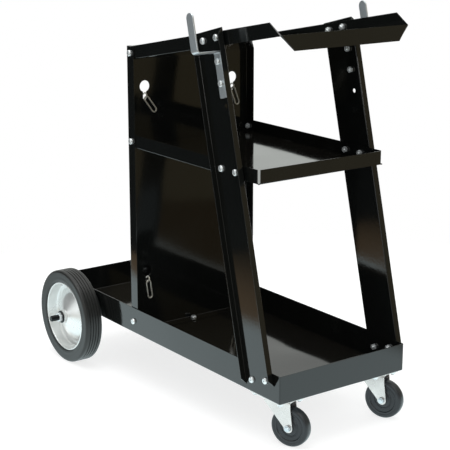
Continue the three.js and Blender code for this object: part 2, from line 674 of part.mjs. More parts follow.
// The slack between the two ends, with each ring turned a quarter turn from the one before
function slackLinks(route, lean) {
  const joints = route.getSpacedPoints(SLACK_LINKS);
  return joints.slice(1).map((joint, i) => {
    const along = joint.clone().sub(joints[i]).normalize();
    const side = X_AXIS.clone().addScaledVector(along, -X_AXIS.dot(along)).normalize();
    const turn = THREE.MathUtils.degToRad((i % 2 === 0 ? 90 : 0) + lean(i));
    return linkBetween(joints[i], joint, side.applyAxisAngle(along, turn));
  });
}

function hangingChain() {
  const ends = chainEnds(KEYHOLE_UPPER_Z, { right: 37, left: 21 });
  const [start, end] = ends.map(({ inner }) => inner);
  const shape = 51.6; // parameter of the catenary that holds eleven links between the slots
  const drop = Math.cosh(start.y / shape);
  const steps = 40;
  const points = Array.from({ length: steps + 1 }, (_, i) => {
    const y = THREE.MathUtils.lerp(start.y, end.y, i / steps);
    return new THREE.Vector3(start.x, y, start.z + shape * (Math.cosh(y / shape) - drop));
  });
  const links = slackLinks(new THREE.CatmullRomCurve3(points), () => 0);
  return join(...ends.flatMap((chainEnd) => chainEnd.links), ...links);
}

function lyingChain() {
  const ends = chainEnds(KEYHOLE_LOWER_Z, { right: 8, left: 12 });
  const [start, end] = ends.map(({ inner }) => inner);
  // How far behind the panel, how far from the middle and how high the chain passes on its way down
  const half = [[30, 105, 50], [37, 99, 20], [57, 86, 8.5], [83, 52, 8.2]];
  const points = [
    start,
    ...half.map(([behind, y, z]) => new THREE.Vector3(PANEL_X - behind, -y, z)),
    new THREE.Vector3(PANEL_X - 93, 0, 8.2),
    ...half.map(([behind, y, z]) => new THREE.Vector3(PANEL_X - behind, y, z)).reverse(),
    end,
  ];
  // Links that lie on the floor lean on to one edge, which the chain takes on over three links
  const middle = (SLACK_LINKS - 1) / 2;
  const lean = (i) => 45 * Math.min(1, (middle - Math.abs(i - middle)) / 3);
  const links = slackLinks(new THREE.CatmullRomCurve3(points), lean);
  return join(...ends.flatMap((chainEnd) => chainEnd.links), ...links);
}

// Assembly in the cart frame
const cart = new THREE.Group();
cart.add(
  mesh('base_tray', baseTray(), BLACK_ENAMEL),
  mesh('rear_panel', rearPanel(), BLACK_ENAMEL),
  mesh('middle_shelf', middleShelf(), BLACK_ENAMEL),
  mesh('panel_floor_bolt', floorBolt(), ZINC),
  mesh('upper_chain', hangingChain(), CHAIN_STEEL),
  mesh('lower_chain', lyingChain(), CHAIN_STEEL),
);

const sloping = new THREE.Group();
sloping.position.set(TOP_SHELF_REAR.x, 0, TOP_SHELF_REAR.z);
sloping.rotation.y = -TOP_SHELF_SLOPE;
sloping.add(mesh('top_shelf', topShelf(), BLACK_ENAMEL));
cart.add(sloping);

for (const { name, sign } of SIDES) {
  const leaning = new THREE.Group();
  leaning.position.set(UPRIGHT_FOOT.x, sign * UPRIGHT_INNER, UPRIGHT_FOOT.z);
  leaning.rotation.y = -UPRIGHT_LEAN;
  leaning.add(mesh(`${name}_upright`, upright(sign), BLACK_ENAMEL));
  leaning.add(mesh(`${name}_cable_hook`, cableHook(sign), ZINC));
  cart.add(leaning);

  const collar = [UPRIGHT_INNER - GAP, INNER_HALF + GAP];
  const inside = INNER_HALF - SHEET;
  BOLT_LINES.forEach((line, i) => {
    cart.add(
      mesh(`${name}_foot_bolt_${line.name}`, sideBolt(sign, FOOT_BOLTS[i], UPRIGHT_OUTER, TRAY_HALF - SHEET), ZINC),
      mesh(`${name}_shelf_bolt_${line.name}`, sideBolt(sign, SHELF_BOLTS[i], UPRIGHT_OUTER, inside, collar), ZINC),
      mesh(
        `${name}_top_shelf_bolt_${line.name}`,
        sideBolt(sign, TOP_SHELF_BOLTS[i], UPRIGHT_OUTER, inside, collar),
        ZINC,
      ),
    );
  });
  const hookFace = UPRIGHT_OUTER + GAP + HOOK_THICKNESS;
  cart.add(
    mesh(`${name}_hook_bolt_lower`, sideBolt(sign, HOOK_PLACES[1], hookFace, UPRIGHT_INNER), ZINC),
    mesh(`${name}_hook_bolt_upper`, sideBolt(sign, HOOK_PLACES[2], hookFace, UPRIGHT_INNER), ZINC),
    mesh(`${name}_panel_tray_bolt`, sideBolt(sign, PANEL_BOLTS.tray, TRAY_HALF, PANEL_HALF - SHEET), ZINC),
    mesh(`${name}_panel_shelf_bolt`, sideBolt(sign, PANEL_BOLTS.shelf, PANEL_HALF, inside), ZINC),
    mesh(`${name}_panel_top_shelf_bolt`, sideBolt(sign, PANEL_BOLTS.topShelf, PANEL_HALF, inside), ZINC),
  );

  const bracket = mesh(`${name}_axle_bracket`, axleBracket(sign), BLACK_ENAMEL);
  bracket.position.x = AXLE.x;
  cart.add(bracket);

  const wheel = new THREE.Group();
  wheel.position.set(AXLE.x, 0, AXLE.z);
  wheel.rotation.z = sign > 0 ? 0 : Math.PI;
  wheel.add(
    mesh(`${name}_tyre`, tyre(), TYRE_RUBBER),
    mesh(`${name}_rim`, rim(), BRIGHT_ZINC),
    mesh(`${name}_hub_bush`, hubBush(), NYLON),
    mesh(`${name}_axle_washer`, axleWasher(), BLACK_STEEL),
    mesh(`${name}_axle_nut`, axleNut(), ZINC),
    mesh(`${name}_axle_collar`, axleCollar(), ZINC),
  );
  cart.add(wheel);

  const caster = new THREE.Group();
  caster.position.set(CASTER.x, sign * CASTER.y, 0);
  caster.add(mesh(`${name}_caster_plate`, casterPlate(), BRIGHT_ZINC));
  caster.add(mesh(`${name}_caster_swivel_race`, swivelRace(), BRIGHT_ZINC));
  const turning = new THREE.Group();
  turning.rotation.z = CASTER_HEADING;
  turning.add(mesh(`${name}_caster_fork`, casterFork(), BRIGHT_ZINC));
  const rolling = new THREE.Group();
  rolling.position.set(CASTER_TRAIL, 0, -CASTER_AXLE_DROP);
  rolling.add(
    mesh(`${name}_caster_wheel`, casterWheel(), CASTER_RUBBER),
    mesh(`${name}_caster_bush`, casterBush(), NYLON),
    mesh(`${name}_caster_axle`, casterAxle(), ZINC),
  );
  turning.add(rolling);
  caster.add(turning);
  cart.add(caster);
}

const axle = mesh('rear_axle', barY(AXLE_RADIUS, AXLE.x, AXLE.z, -AXLE_TIP_Y, AXLE_TIP_Y, SHAFT_FLATS), BLACK_STEEL);
cart.add(axle);

// Stand the cart on the floor: the line that touches the rear wheels and the caster wheels is level
const casterAxleX = CASTER.x + CASTER_TRAIL * Math.cos(CASTER_HEADING);
const wheelbase = casterAxleX - AXLE.x;
const axleFall = -CASTER_AXLE_DROP - AXLE.z;
const radiusStep = WHEEL_RADIUS - CASTER_WHEEL_RADIUS;
cart.rotation.y = Math.asin(radiusStep / Math.hypot(wheelbase, axleFall)) + Math.atan2(axleFall, wheelbase);

const weldingCart = new THREE.Group();
weldingCart.add(cart);
weldingCart.updateMatrixWorld(true);
const extent = new THREE.Box3().setFromObject(weldingCart, true);
const centre = extent.getCenter(new THREE.Vector3());
cart.position.set(-centre.x, -centre.y, -extent.min.z);

export default weldingCart;
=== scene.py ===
# %% [markdown]
# # A welding cart in glossy black enamel The cart is folded from sheet steel: a tray on wheels, a
# panel that stands across it, two leaning uprights, a level shelf and a sloping one on top. The
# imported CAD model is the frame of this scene. It says where everything is, and every new piece below
# takes its place from it, so nothing has to be fitted by eye.

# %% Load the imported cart
import json
import math
import bmesh
import bpy
from mathutils import Matrix, Vector


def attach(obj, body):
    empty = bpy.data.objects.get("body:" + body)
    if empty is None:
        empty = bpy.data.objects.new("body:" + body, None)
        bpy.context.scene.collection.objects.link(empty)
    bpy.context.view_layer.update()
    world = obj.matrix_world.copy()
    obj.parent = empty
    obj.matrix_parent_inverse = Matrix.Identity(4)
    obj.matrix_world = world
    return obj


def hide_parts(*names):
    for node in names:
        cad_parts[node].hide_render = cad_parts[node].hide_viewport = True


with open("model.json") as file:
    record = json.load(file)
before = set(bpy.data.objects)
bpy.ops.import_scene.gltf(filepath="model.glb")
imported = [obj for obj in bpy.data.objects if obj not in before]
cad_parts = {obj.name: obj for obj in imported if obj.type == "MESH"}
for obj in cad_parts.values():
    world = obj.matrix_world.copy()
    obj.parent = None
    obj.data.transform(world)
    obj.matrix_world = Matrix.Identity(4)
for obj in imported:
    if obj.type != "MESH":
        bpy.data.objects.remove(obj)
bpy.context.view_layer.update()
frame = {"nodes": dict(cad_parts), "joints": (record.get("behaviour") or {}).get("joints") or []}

# %% [markdown]
# The cart was drawn in its own millimetres, with x forward from the rear end of the tray, y to the
# left and z up from the underside of the tray. It stands slightly nose-down, because the rear wheels
# are taller than the casters. Modelling in the drawn frame keeps every number readable. One matrix
# then sets a finished piece on the floor in metres. Two joints of the frame give that matrix: the
# swivel axis leans as far as the tray does, and the wheel joint says where the axle ended up.

# %% From the cart's millimetres to the floor
MM = 0.001
AXLE_X = 86.3
AXLE_Z = -14.9
joints = {joint["name"]: joint for joint in frame["joints"]}
swivel_axis = Vector(joints["right_caster_turn"]["axis"])
tilt = math.atan2(swivel_axis.x, swivel_axis.z)
axle_on_floor = Vector(joints["right_wheel_roll"]["pos_m"]) * Vector((1, 0, 1))
CART_TO_FLOOR = (
    Matrix.Translation(axle_on_floor)
    @ Matrix.Rotation(tilt, 4, "Y")
    @ Matrix.Scale(MM, 4)
    @ Matrix.Translation((-AXLE_X, 0, -AXLE_Z))
)
print("the tray slopes down by", round(math.degrees(tilt), 2), "degrees")

# %% [markdown]
# The camera stands where the photograph was taken from, ahead of the cart on its right, a little
# above it. The place was found by fitting a camera to about fifty corners and bolts, and it is
# written in the cart's frame, so the camera leans with the cart by the same small angle.

# %% Camera
EYE = Vector((2533.9, -1537.4, 917.2))
AIM = Vector((418.6, 0, 231.6))
LENS_MM = 106.82
toward = (AIM - EYE).normalized()
across = toward.cross(Vector((0, 0, 1))).normalized()
facing = Matrix((across, across.cross(toward), -toward)).transposed().to_4x4()
placed = CART_TO_FLOOR @ Matrix.Translation(EYE) @ facing
bpy.ops.object.camera_add()
camera = bpy.context.object
camera.matrix_world = Matrix.LocRotScale(placed.to_translation(), placed.to_quaternion(), None)
camera.data.lens = LENS_MM
camera.data.sensor_width = 36
camera.data.clip_end = 50
bpy.context.scene.camera = camera
print("camera at", [round(value, 3) for value in camera.location])

# %% [markdown]
# Colours are written as sRGB hex values, as they would be picked from a picture, and one function
# turns them into the linear values that the renderer works with. A second function adds a node, sets
# its values and links whatever is given as a socket. All patterns read Object coordinates. These are
# metres here, so the scale of a pattern is one over its size.

# %% Helpers for materials
def linear(code):
    channels = [int(code[i:i + 2], 16) / 255 for i in (1, 3, 5)]
    return tuple(c / 12.92 if c <= 0.04045 else ((c + 0.055) / 1.055) ** 2.4 for c in channels) + (1,)


def add_node(tree, kind, inputs=None, **settings):
    node = tree.nodes.new(kind)
    for name, value in settings.items():
        setattr(node, name, value)
    for name, value in (inputs or {}).items():
        if isinstance(value, bpy.types.NodeSocket):
            tree.links.new(value, node.inputs[name])
        else:
            node.inputs[name].default_value = value
    return node


def per_size(millimetres):
    return 1000 / millimetres


def new_material(name):
    material = bpy.data.materials.new(name)
    material.use_nodes = True
    tree = material.node_tree
    place = add_node(tree, "ShaderNodeTexCoord").outputs["Object"]
    return material, tree, tree.nodes["Principled BSDF"], place


def blend_colours(tree, factor, first, second):
    mix = add_node(tree, "ShaderNodeMix", data_type="RGBA")
    tree.links.new(factor, mix.inputs[0])
    mix.inputs[6].default_value = linear(first)
    mix.inputs[7].default_value = linear(second)
    return mix.outputs[2]


FINISHES = {}

# %% [markdown]
# Gloss enamel on steel. The paint is nearly black, and what the eye sees is its mirror: a white floor
# in the lower faces and a dim warm room in the upper ones. Thin sheet is never quite flat, so the
# mirror images wave a little. Sprayed enamel adds orange peel, low bumps a few millimetres apart, and
# its gloss varies from patch to patch where hands have been. Faces that look up carry a little dust.

# %% Black enamel
def gloss_black_enamel():
    material, tree, shader, place = new_material("gloss_black_enamel")
    patches = add_node(tree, "ShaderNodeTexNoise", {"Vector": place, "Scale": per_size(70), "Detail": 4})
    peel = add_node(tree, "ShaderNodeTexNoise", {"Vector": place, "Scale": per_size(6), "Detail": 1})
    waves = add_node(tree, "ShaderNodeTexNoise", {"Vector": place, "Scale": per_size(110), "Detail": 0})
    gloss = add_node(tree, "ShaderNodeMapRange", {
        "Value": patches.outputs["Fac"], "To Min": 0.05, "To Max": 0.11,
    })
    sheet = add_node(tree, "ShaderNodeBump", {
        "Height": waves.outputs["Fac"], "Strength": 1, "Distance": MM * 0.8,
    })
    paint = add_node(tree, "ShaderNodeBump", {
        "Height": peel.outputs["Fac"], "Strength": 0.035, "Distance": MM, "Normal": sheet.outputs["Normal"],
    })
    faces = add_node(tree, "ShaderNodeNewGeometry").outputs["Normal"]
    upward = add_node(tree, "ShaderNodeSeparateXYZ", {"Vector": faces}).outputs["Z"]
    dust = add_node(tree, "ShaderNodeMapRange", {"Value": upward, "From Min": 0.7, "From Max": 0.95})
    clean = blend_colours(tree, patches.outputs["Fac"], "#0c0d0d", "#121413")
    colour = add_node(tree, "ShaderNodeMix", {
        0: dust.outputs["Result"], 6: clean, 7: linear("#1c1b18"),
    }, data_type="RGBA")
    tree.links.new(colour.outputs[2], shader.inputs["Base Color"])
    tree.links.new(gloss.outputs["Result"], shader.inputs["Roughness"])
    tree.links.new(paint.outputs["Normal"], shader.inputs["Normal"])
    shader.inputs["IOR"].default_value = 1.5
    return material


FINISHES["black_enamel"] = gloss_black_enamel()
print("made", FINISHES["black_enamel"].name)

# %% [markdown]
# Zinc plate is a soft bluish grey metal. Its satin crystals scatter part of the light, so the shader
# is not quite fully metallic. The hooks have a dull plate, the screws a lighter one, the pressed rims
# and forks a bright one, and the chain is plated too but yellower. One function makes them all from
# their colours, their roughness and the size of the clouds in the plate.

# %% Zinc plate
def zinc_plate(name, dark, light, smoothest, roughest, cloud_mm, metallic=0.8):
    material, tree, shader, place = new_material(name)
    clouds = add_node(tree, "ShaderNodeTexNoise", {"Vector": place, "Scale": per_size(cloud_mm), "Detail": 3})
    grain = add_node(tree, "ShaderNodeTexNoise", {"Vector": place, "Scale": per_size(2.5), "Detail": 1})
    spread = add_node(tree, "ShaderNodeMapRange", {
        "Value": clouds.outputs["Fac"], "From Min": 0.3, "From Max": 0.7,
    })
    tree.links.new(blend_colours(tree, spread.outputs["Result"], dark, light), shader.inputs["Base Color"])
    matt = add_node(tree, "ShaderNodeMapRange", {
        "Value": spread.outputs["Result"], "To Min": roughest, "To Max": smoothest,
    })
    bump = add_node(tree, "ShaderNodeBump", {
        "Height": grain.outputs["Fac"], "Strength": 0.03, "Distance": MM * 0.3,
    })
    tree.links.new(matt.outputs["Result"], shader.inputs["Roughness"])
    tree.links.new(bump.outputs["Normal"], shader.inputs["Normal"])
    shader.inputs["Metallic"].default_value = metallic
    return material


FINISHES["zinc"] = zinc_plate("dull_zinc_plate", "#bcc4c9", "#ccd3d7", 0.34, 0.42, 14)
FINISHES["screw_zinc"] = zinc_plate("light_zinc_plate", "#d6dbdd", "#e6eaeb", 0.22, 0.3, 8, 0.6)
FINISHES["bright_zinc"] = zinc_plate("bright_zinc_plate", "#c4bfbc", "#d1ccc9", 0.24, 0.3, 25)
FINISHES["rim_zinc"] = zinc_plate("satin_zinc_plate", "#dadcdb", "#e8eae9", 0.26, 0.32, 60, 0.55)
FINISHES["chain_steel"] = zinc_plate("plated_chain_steel", "#bdbbb1", "#d8d6cd", 0.24, 0.34, 12, 0.6)
print("made", [FINISHES[slot].name for slot in ("zinc", "screw_zinc", "bright_zinc", "rim_zinc", "chain_steel")])

# %% [markdown]
# The tyres are moulded solid rubber, dark grey and dull, with a bloom that lifts the colour here and
# there and a fine grain from the mould. The caster wheels are harder and darker, and smoother. Grain
# finer than a millimetre wouldn't show at this distance, so it is drawn a little coarser than the
# real one.

# %% Moulded rubber
def moulded_rubber(name, dark, light, smoothest, roughest, grain_strength):
    material, tree, shader, place = new_material(name)
    bloom = add_node(tree, "ShaderNodeTexNoise", {"Vector": place, "Scale": per_size(35), "Detail": 5})
    grain = add_node(tree, "ShaderNodeTexNoise", {"Vector": place, "Scale": per_size(1.5), "Detail": 3})
    spread = add_node(tree, "ShaderNodeMapRange", {"Value": bloom.outputs["Fac"], "From Min": 0.3, "From Max": 0.7})
    tree.links.new(blend_colours(tree, spread.outputs["Result"], dark, light), shader.inputs["Base Color"])
    matt = add_node(tree, "ShaderNodeMapRange", {
        "Value": bloom.outputs["Fac"], "To Min": smoothest, "To Max": roughest,
    })
    bump = add_node(tree, "ShaderNodeBump", {
        "Height": grain.outputs["Fac"], "Strength": grain_strength, "Distance": MM * 0.3,
    })
    tree.links.new(matt.outputs["Result"], shader.inputs["Roughness"])
    tree.links.new(bump.outputs["Normal"], shader.inputs["Normal"])
    shader.inputs["IOR"].default_value = 1.42
    return material


FINISHES["tyre_rubber"] = moulded_rubber("moulded_tyre_rubber", "#1a1b1b", "#242524", 0.38, 0.5, 0.2)
FINISHES["caster_rubber"] = moulded_rubber("hard_caster_rubber", "#1d2124", "#272b2f", 0.3, 0.42, 0.12)
FINISHES["nylon"] = moulded_rubber("moulded_black_nylon", "#1a1b1c", "#232426", 0.35, 0.5, 0.1)
print("made", [FINISHES[slot].name for slot in ("tyre_rubber", "caster_rubber", "nylon")])

# %% [markdown]
# The axle is bare steel with a black oxide skin: dark and slightly metallic, rubbed a little lighter
# in places.

# %% Black oxide
def black_oxide_steel():
    material, tree, shader, place = new_material("black_oxide_steel")
    rub = add_node(tree, "ShaderNodeTexNoise", {"Vector": place, "Scale": per_size(9), "Detail": 5})
    tree.links.new(blend_colours(tree, rub.outputs["Fac"], "#0a0b0d", "#1a1c1f"), shader.inputs["Base Color"])
    matt = add_node(tree, "ShaderNodeMapRange", {"Value": rub.outputs["Fac"], "To Min": 0.25, "To Max": 0.5})
    tree.links.new(matt.outputs["Result"], shader.inputs["Roughness"])
    shader.inputs["Metallic"].default_value = 0.6
    return material


FINISHES["black_steel"] = black_oxide_steel()
print("made", FINISHES["black_steel"].name)

# %% [markdown]
# Modelling by hand goes in the same few moves each time: add a primitive, step into edit mode, pick
# edges or faces by where they are, use an operator on them, and finish with modifiers. These helpers
# are those moves. The last one sets a finished piece down on the floor, gives it its finish, hangs it
# on the body it rides on, and hides the CAD solids that it stands for, if there are any.

# %% Helpers for modelling
def add(primitive, scale=(1, 1, 1), **settings):
    bpy.ops.object.select_all(action="DESELECT")
    primitive(**settings)
    bpy.context.object.scale = scale
    bpy.ops.object.transform_apply(location=True, rotation=True, scale=True)
    return bpy.context.object


def block(x, y, z):
    middle = [(low + high) / 2 for low, high in (x, y, z)]
    size = [high - low for low, high in (x, y, z)]
    return add(bpy.ops.mesh.primitive_cube_add, size=1, location=middle, scale=size)


def along_y(radius, low, high, sides=32, x=0, z=0):
    return add(
        bpy.ops.mesh.primitive_cylinder_add, vertices=sides, radius=radius, depth=high - low,
        location=(x, (low + high) / 2, z), rotation=(math.pi / 2, 0, 0),
    )


def edit(piece):
    bpy.context.view_layer.objects.active = piece
    bpy.ops.object.mode_set(mode="EDIT")


def leave_edit():
    bpy.ops.object.mode_set(mode="OBJECT")


def face_outward():
    bpy.ops.mesh.select_all(action="SELECT")
    bpy.ops.mesh.normals_make_consistent(inside=False)
    leave_edit()


def near(value, target):
    return abs(value - target) < 0.01


def pick(piece, kind, test):
    bpy.ops.mesh.select_mode(type=kind)
    bpy.ops.mesh.select_all(action="DESELECT")
    mesh = bmesh.from_edit_mesh(piece.data)
    elements = {"VERT": mesh.verts, "EDGE": mesh.edges, "FACE": mesh.faces}[kind]
    for element in elements:
        corners = [element] if kind == "VERT" else element.verts
        if test(sum((corner.co for corner in corners), Vector()) / len(corners)):
            element.select_set(True)
    mesh.select_flush_mode()
    bmesh.update_edit_mesh(piece.data)


def pull_out(*step):
    bpy.ops.mesh.extrude_region_move(TRANSFORM_OT_translate={"value": step})


def apply_modifier(piece, kind, **settings):
    bpy.context.view_layer.objects.active = piece
    modifier = piece.modifiers.new(kind.lower(), kind)
    for name, value in settings.items():
        setattr(modifier, name, value)
    bpy.ops.object.modifier_apply(modifier=modifier.name)


def break_edges(piece, width=0.35, segments=2):
    apply_modifier(
        piece, "BEVEL", width=width, segments=segments, limit_method="ANGLE", angle_limit=math.radians(50),
    )


def cut_away(piece, cutter):
    apply_modifier(piece, "BOOLEAN", operation="DIFFERENCE", object=cutter, solver="EXACT", use_self=True)
    bpy.data.objects.remove(cutter)


def put(piece, matrix):
    bpy.ops.object.select_all(action="DESELECT")
    piece.select_set(True)
    bpy.context.view_layer.objects.active = piece
    piece.matrix_world = matrix @ piece.matrix_world
    bpy.ops.object.transform_apply(location=True, rotation=True, scale=True)
    return piece


def copy_of(piece):
    twin = piece.copy()
    twin.data = piece.data.copy()
    bpy.context.scene.collection.objects.link(twin)
    return twin


def mirrored(piece):
    twin = put(copy_of(piece), Matrix.Scale(-1, 4, (0, 1, 0)))
    edit(twin)
    face_outward()
    return twin


def joined(*pieces):
    bpy.ops.object.select_all(action="DESELECT")
    for piece in pieces:
        piece.select_set(True)
    bpy.context.view_layer.objects.active = pieces[0]
    bpy.ops.object.join()
    return pieces[0]


def set_down(piece, name, slot, body, *nodes, finish=None):
    put(piece, CART_TO_FLOOR)
    bpy.ops.object.shade_smooth_by_angle(angle=math.radians(40))
    apply_modifier(piece, "WEIGHTED_NORMAL", keep_sharp=True)
    piece.name = name
    piece.data.name = name
    piece.data.materials.clear()
    piece.data.materials.append(FINISHES[finish or slot])
    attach(piece, body)
    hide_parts(*nodes)
    print(name, "has", len(piece.data.polygons), "faces")
    return piece


# %% [markdown]
# Every sheet piece is drawn as a surface without thickness, as a folder thinks of it: a flat blank
# whose edges are pulled up. The fold lines are then rounded with a bevel, Solidify gives the steel
# its thickness on the inside, and a hair-fine bevel breaks the cut edges, which is what catches the
# thin lines of light on the real cart.

# %% The tray
SHEET = 1.5
GAP = 0.3
FOLD = 2.2
TRAY_LENGTH = 791
TRAY_HALF = 150
TRAY_HEIGHT = 54


def round_folds(radius=FOLD, segments=4):
    bpy.ops.mesh.bevel(offset=radius, segments=segments, affect="EDGES")


def split_at(x=None, y=None):
    bpy.ops.mesh.select_all(action="SELECT")
    point = (x or 0, y or 0, 0)
    bpy.ops.mesh.bisect(plane_co=point, plane_no=(1, 0, 0) if y is None else (0, 1, 0))


def thicken(piece, thickness=SHEET, edge=0.35):
    apply_modifier(piece, "SOLIDIFY", thickness=thickness, offset=-1, use_even_offset=True)
    break_edges(piece, edge)


tray = block((0, TRAY_LENGTH), (-TRAY_HALF, TRAY_HALF), (0, TRAY_HEIGHT))
edit(tray)
pick(tray, "FACE", lambda middle: near(middle.z, TRAY_HEIGHT))
bpy.ops.mesh.delete(type="FACE")
pick(tray, "EDGE", lambda middle: middle.z < TRAY_HEIGHT - 1)
round_folds()
leave_edit()
thicken(tray)
set_down(tray, "enamelled_tray", "black_enamel", "frame", "base_tray")

# %% [markdown]
# The panel that holds the gas cylinder back is a shallow pan on edge, with flanges turned forward on
# four sides. Its top and bottom flanges stop short of the corners, which leaves room for the lips of
# the shelves. Two pairs of keyholes take the safety chains: a link drops through the round hole and
# locks in the slot below it. A cutter joined from a cylinder and a bar would leave slivers where the
# two touch, so the whole outline is drawn with extruded vertices, filled and pulled out to a prism.

# %% The rear panel
PANEL_X = 292.5
PANEL_TOP = 592.5
PANEL_BOTTOM = SHEET + GAP
PANEL_HALF = TRAY_HALF - SHEET - GAP
PANEL_FLANGE = 25
PANEL_TOP_FLANGE = 14
FLANGE_HALF = 141.9
KEYHOLE_Y = 108
KEYHOLE_RADIUS = 11.6
KEYHOLE_SLOT = 8
KEYHOLE_DROP = 27.8
UPPER_KEYHOLE_Z = 508.8
LOWER_KEYHOLE_Z = 125
TURN_ROUND = math.radians(120)


def drawn(outline):
    wire = add(bpy.ops.mesh.primitive_plane_add, size=1)
    points = [Vector((first, second, 0)) for first, second in outline]
    edit(wire)
    bpy.ops.mesh.select_mode(type="VERT")
    bpy.ops.mesh.select_all(action="SELECT")
    bpy.ops.mesh.merge(type="CENTER")
    bpy.ops.transform.translate(value=points[0])
    for last, point in zip(points, points[1:] + points[:1]):
        pull_out(*(point - last))
    bpy.ops.mesh.select_all(action="SELECT")
    bpy.ops.mesh.remove_doubles(threshold=0.001)
    return wire


def rounded(radius, height, bend, start, end, steps=5):
    angles = [math.radians(start + (end - start) * step / steps) for step in range(steps + 1)]
    return [(radius + bend * math.cos(angle), height + bend * math.sin(angle)) for angle in angles]


def keyhole_cutter(y, z):
    half = KEYHOLE_SLOT / 2
    neck = math.degrees(math.asin(half / KEYHOLE_RADIUS))
    hole = rounded(y, z, KEYHOLE_RADIUS, neck - 90, 270 - neck, 42)
    slot = rounded(y, z - KEYHOLE_DROP + half, half, 180, 360, 12)
    cutter = drawn(hole + slot)
    bpy.ops.mesh.edge_face_add()
    pull_out(0, 0, 12)
    face_outward()
    return put(cutter, Matrix.Translation((PANEL_X - 6, 0, 0)) @ Matrix.Rotation(TURN_ROUND, 4, (1, 1, 1)))


def panel_fold(middle):
    return near(middle.x, PANEL_X) and (near(abs(middle.y), PANEL_HALF) or near(middle.y, 0))


panel = block((PANEL_X, PANEL_X + PANEL_FLANGE), (-PANEL_HALF, PANEL_HALF), (PANEL_BOTTOM, PANEL_TOP))
edit(panel)
pick(panel, "FACE", lambda middle: middle.x > PANEL_X + 1 and near(middle.y, 0))
bpy.ops.mesh.delete(type="FACE")
split_at(y=FLANGE_HALF)
split_at(y=-FLANGE_HALF)
for level, depth in ((PANEL_TOP, PANEL_TOP_FLANGE), (PANEL_BOTTOM, PANEL_FLANGE)):
    pick(panel, "EDGE", lambda middle: near(middle.z, level) and near(middle.y, 0))
    pull_out(depth, 0, 0)
pick(panel, "EDGE", panel_fold)
round_folds()
leave_edit()
apply_modifier(panel, "SOLIDIFY", thickness=SHEET, offset=-1, use_even_offset=True)
for keyhole_z in (UPPER_KEYHOLE_Z, LOWER_KEYHOLE_Z):
    for side in (-1, 1):
        cut_away(panel, keyhole_cutter(side * KEYHOLE_Y, keyhole_z))
break_edges(panel)
set_down(panel, "enamelled_panel", "black_enamel", "frame", "rear_panel")

# %% [markdown]
# The shelf is a flat blank with lips turned up at both sides and at the front. Its front corners are
# left open, and a thin line of daylight shows through them. Cutting the blank with bisect gives the
# fold lines their ends.

# %% The shelf
SHELF_REAR = PANEL_X + SHEET + GAP
SHELF_FRONT = 720.5
SHELF_Z = 390.5
SHELF_LIP = 26.5
INNER_HALF = PANEL_HALF - SHEET - GAP
CORNER_SLIT = 3
LIP_END = SHELF_FRONT - SHEET - CORNER_SLIT
FRONT_LIP_HALF = INNER_HALF - SHEET - CORNER_SLIT


def flat_blank(x, y, z):
    size = (x[1] - x[0], y[1] - y[0], 1)
    middle = ((x[0] + x[1]) / 2, (y[0] + y[1]) / 2, z)
    return add(bpy.ops.mesh.primitive_plane_add, size=1, location=middle, scale=size)


def shelf_fold(middle):
    side = near(abs(middle.y), INNER_HALF) and middle.x < LIP_END
    front = near(middle.x, SHELF_FRONT) and abs(middle.y) < FRONT_LIP_HALF
    return near(middle.z, SHELF_Z) and (side or front)


shelf = flat_blank((SHELF_REAR, SHELF_FRONT), (-INNER_HALF, INNER_HALF), SHELF_Z)
edit(shelf)
bpy.ops.mesh.flip_normals()
split_at(x=LIP_END)
split_at(y=FRONT_LIP_HALF)
split_at(y=-FRONT_LIP_HALF)
pick(shelf, "EDGE", shelf_fold)
pull_out(0, 0, SHELF_LIP)
pick(shelf, "EDGE", shelf_fold)
round_folds()
leave_edit()
thicken(shelf)
set_down(shelf, "enamelled_shelf", "black_enamel", "frame", "middle_shelf")

# %% [markdown]
# The uprights are channels: a flat web with a narrow flange folded outward along both edges, the ends
# of the flanges cut at 45 degrees. The web is drawn lying against the tray, and the thickness grows
# outward. Each left piece is mirrored for the right side. One of the three hook holes stays empty on
# the real cart, so it is cut through.

# %% The uprights
UPRIGHT_LEAN = math.radians(14.1)
UPRIGHT_WIDTH = 84.5
UPRIGHT_LENGTH = 647
UPRIGHT_FLANGE = 12
UPRIGHT_INNER = TRAY_HALF + GAP
UPRIGHT_OUTER = UPRIGHT_INNER + SHEET
UPRIGHT_TO_CART = Matrix.Translation((694, UPRIGHT_INNER, 10.5)) @ Matrix.Rotation(-UPRIGHT_LEAN, 4, "Y")
HOOK_LINE = 62.5
EMPTY_HOLE_UP = 508.5
EMPTY_HOLE_RADIUS = 4


def standing_blank(x, y, z):
    size = (x[1] - x[0], z[1] - z[0], 1)
    middle = ((x[0] + x[1]) / 2, y, (z[0] + z[1]) / 2)
    return add(
        bpy.ops.mesh.primitive_plane_add, size=1, location=middle, scale=size, rotation=(math.pi / 2, 0, 0),
    )


def upright_fold(middle):
    return near(middle.y, 0) and (near(middle.x, 0) or near(middle.x, UPRIGHT_WIDTH))


upright = standing_blank((0, UPRIGHT_WIDTH), 0, (0, UPRIGHT_LENGTH))
edit(upright)
pick(upright, "EDGE", upright_fold)
pull_out(0, UPRIGHT_FLANGE, 0)
bpy.ops.transform.resize(
    value=(1, 1, 1 - 2 * UPRIGHT_FLANGE / UPRIGHT_LENGTH),
    center_override=(0, UPRIGHT_FLANGE, UPRIGHT_LENGTH / 2),
)
pick(upright, "EDGE", upright_fold)
round_folds()
leave_edit()
apply_modifier(upright, "SOLIDIFY", thickness=SHEET, offset=-1, use_even_offset=True)
cut_away(upright, along_y(EMPTY_HOLE_RADIUS, -5, 5, x=HOOK_LINE, z=EMPTY_HOLE_UP))
break_edges(upright)
put(upright, UPRIGHT_TO_CART)
set_down(mirrored(upright), "enamelled_right_upright", "black_enamel", "frame", "right_upright")
set_down(upright, "enamelled_left_upright", "black_enamel", "frame", "left_upright")

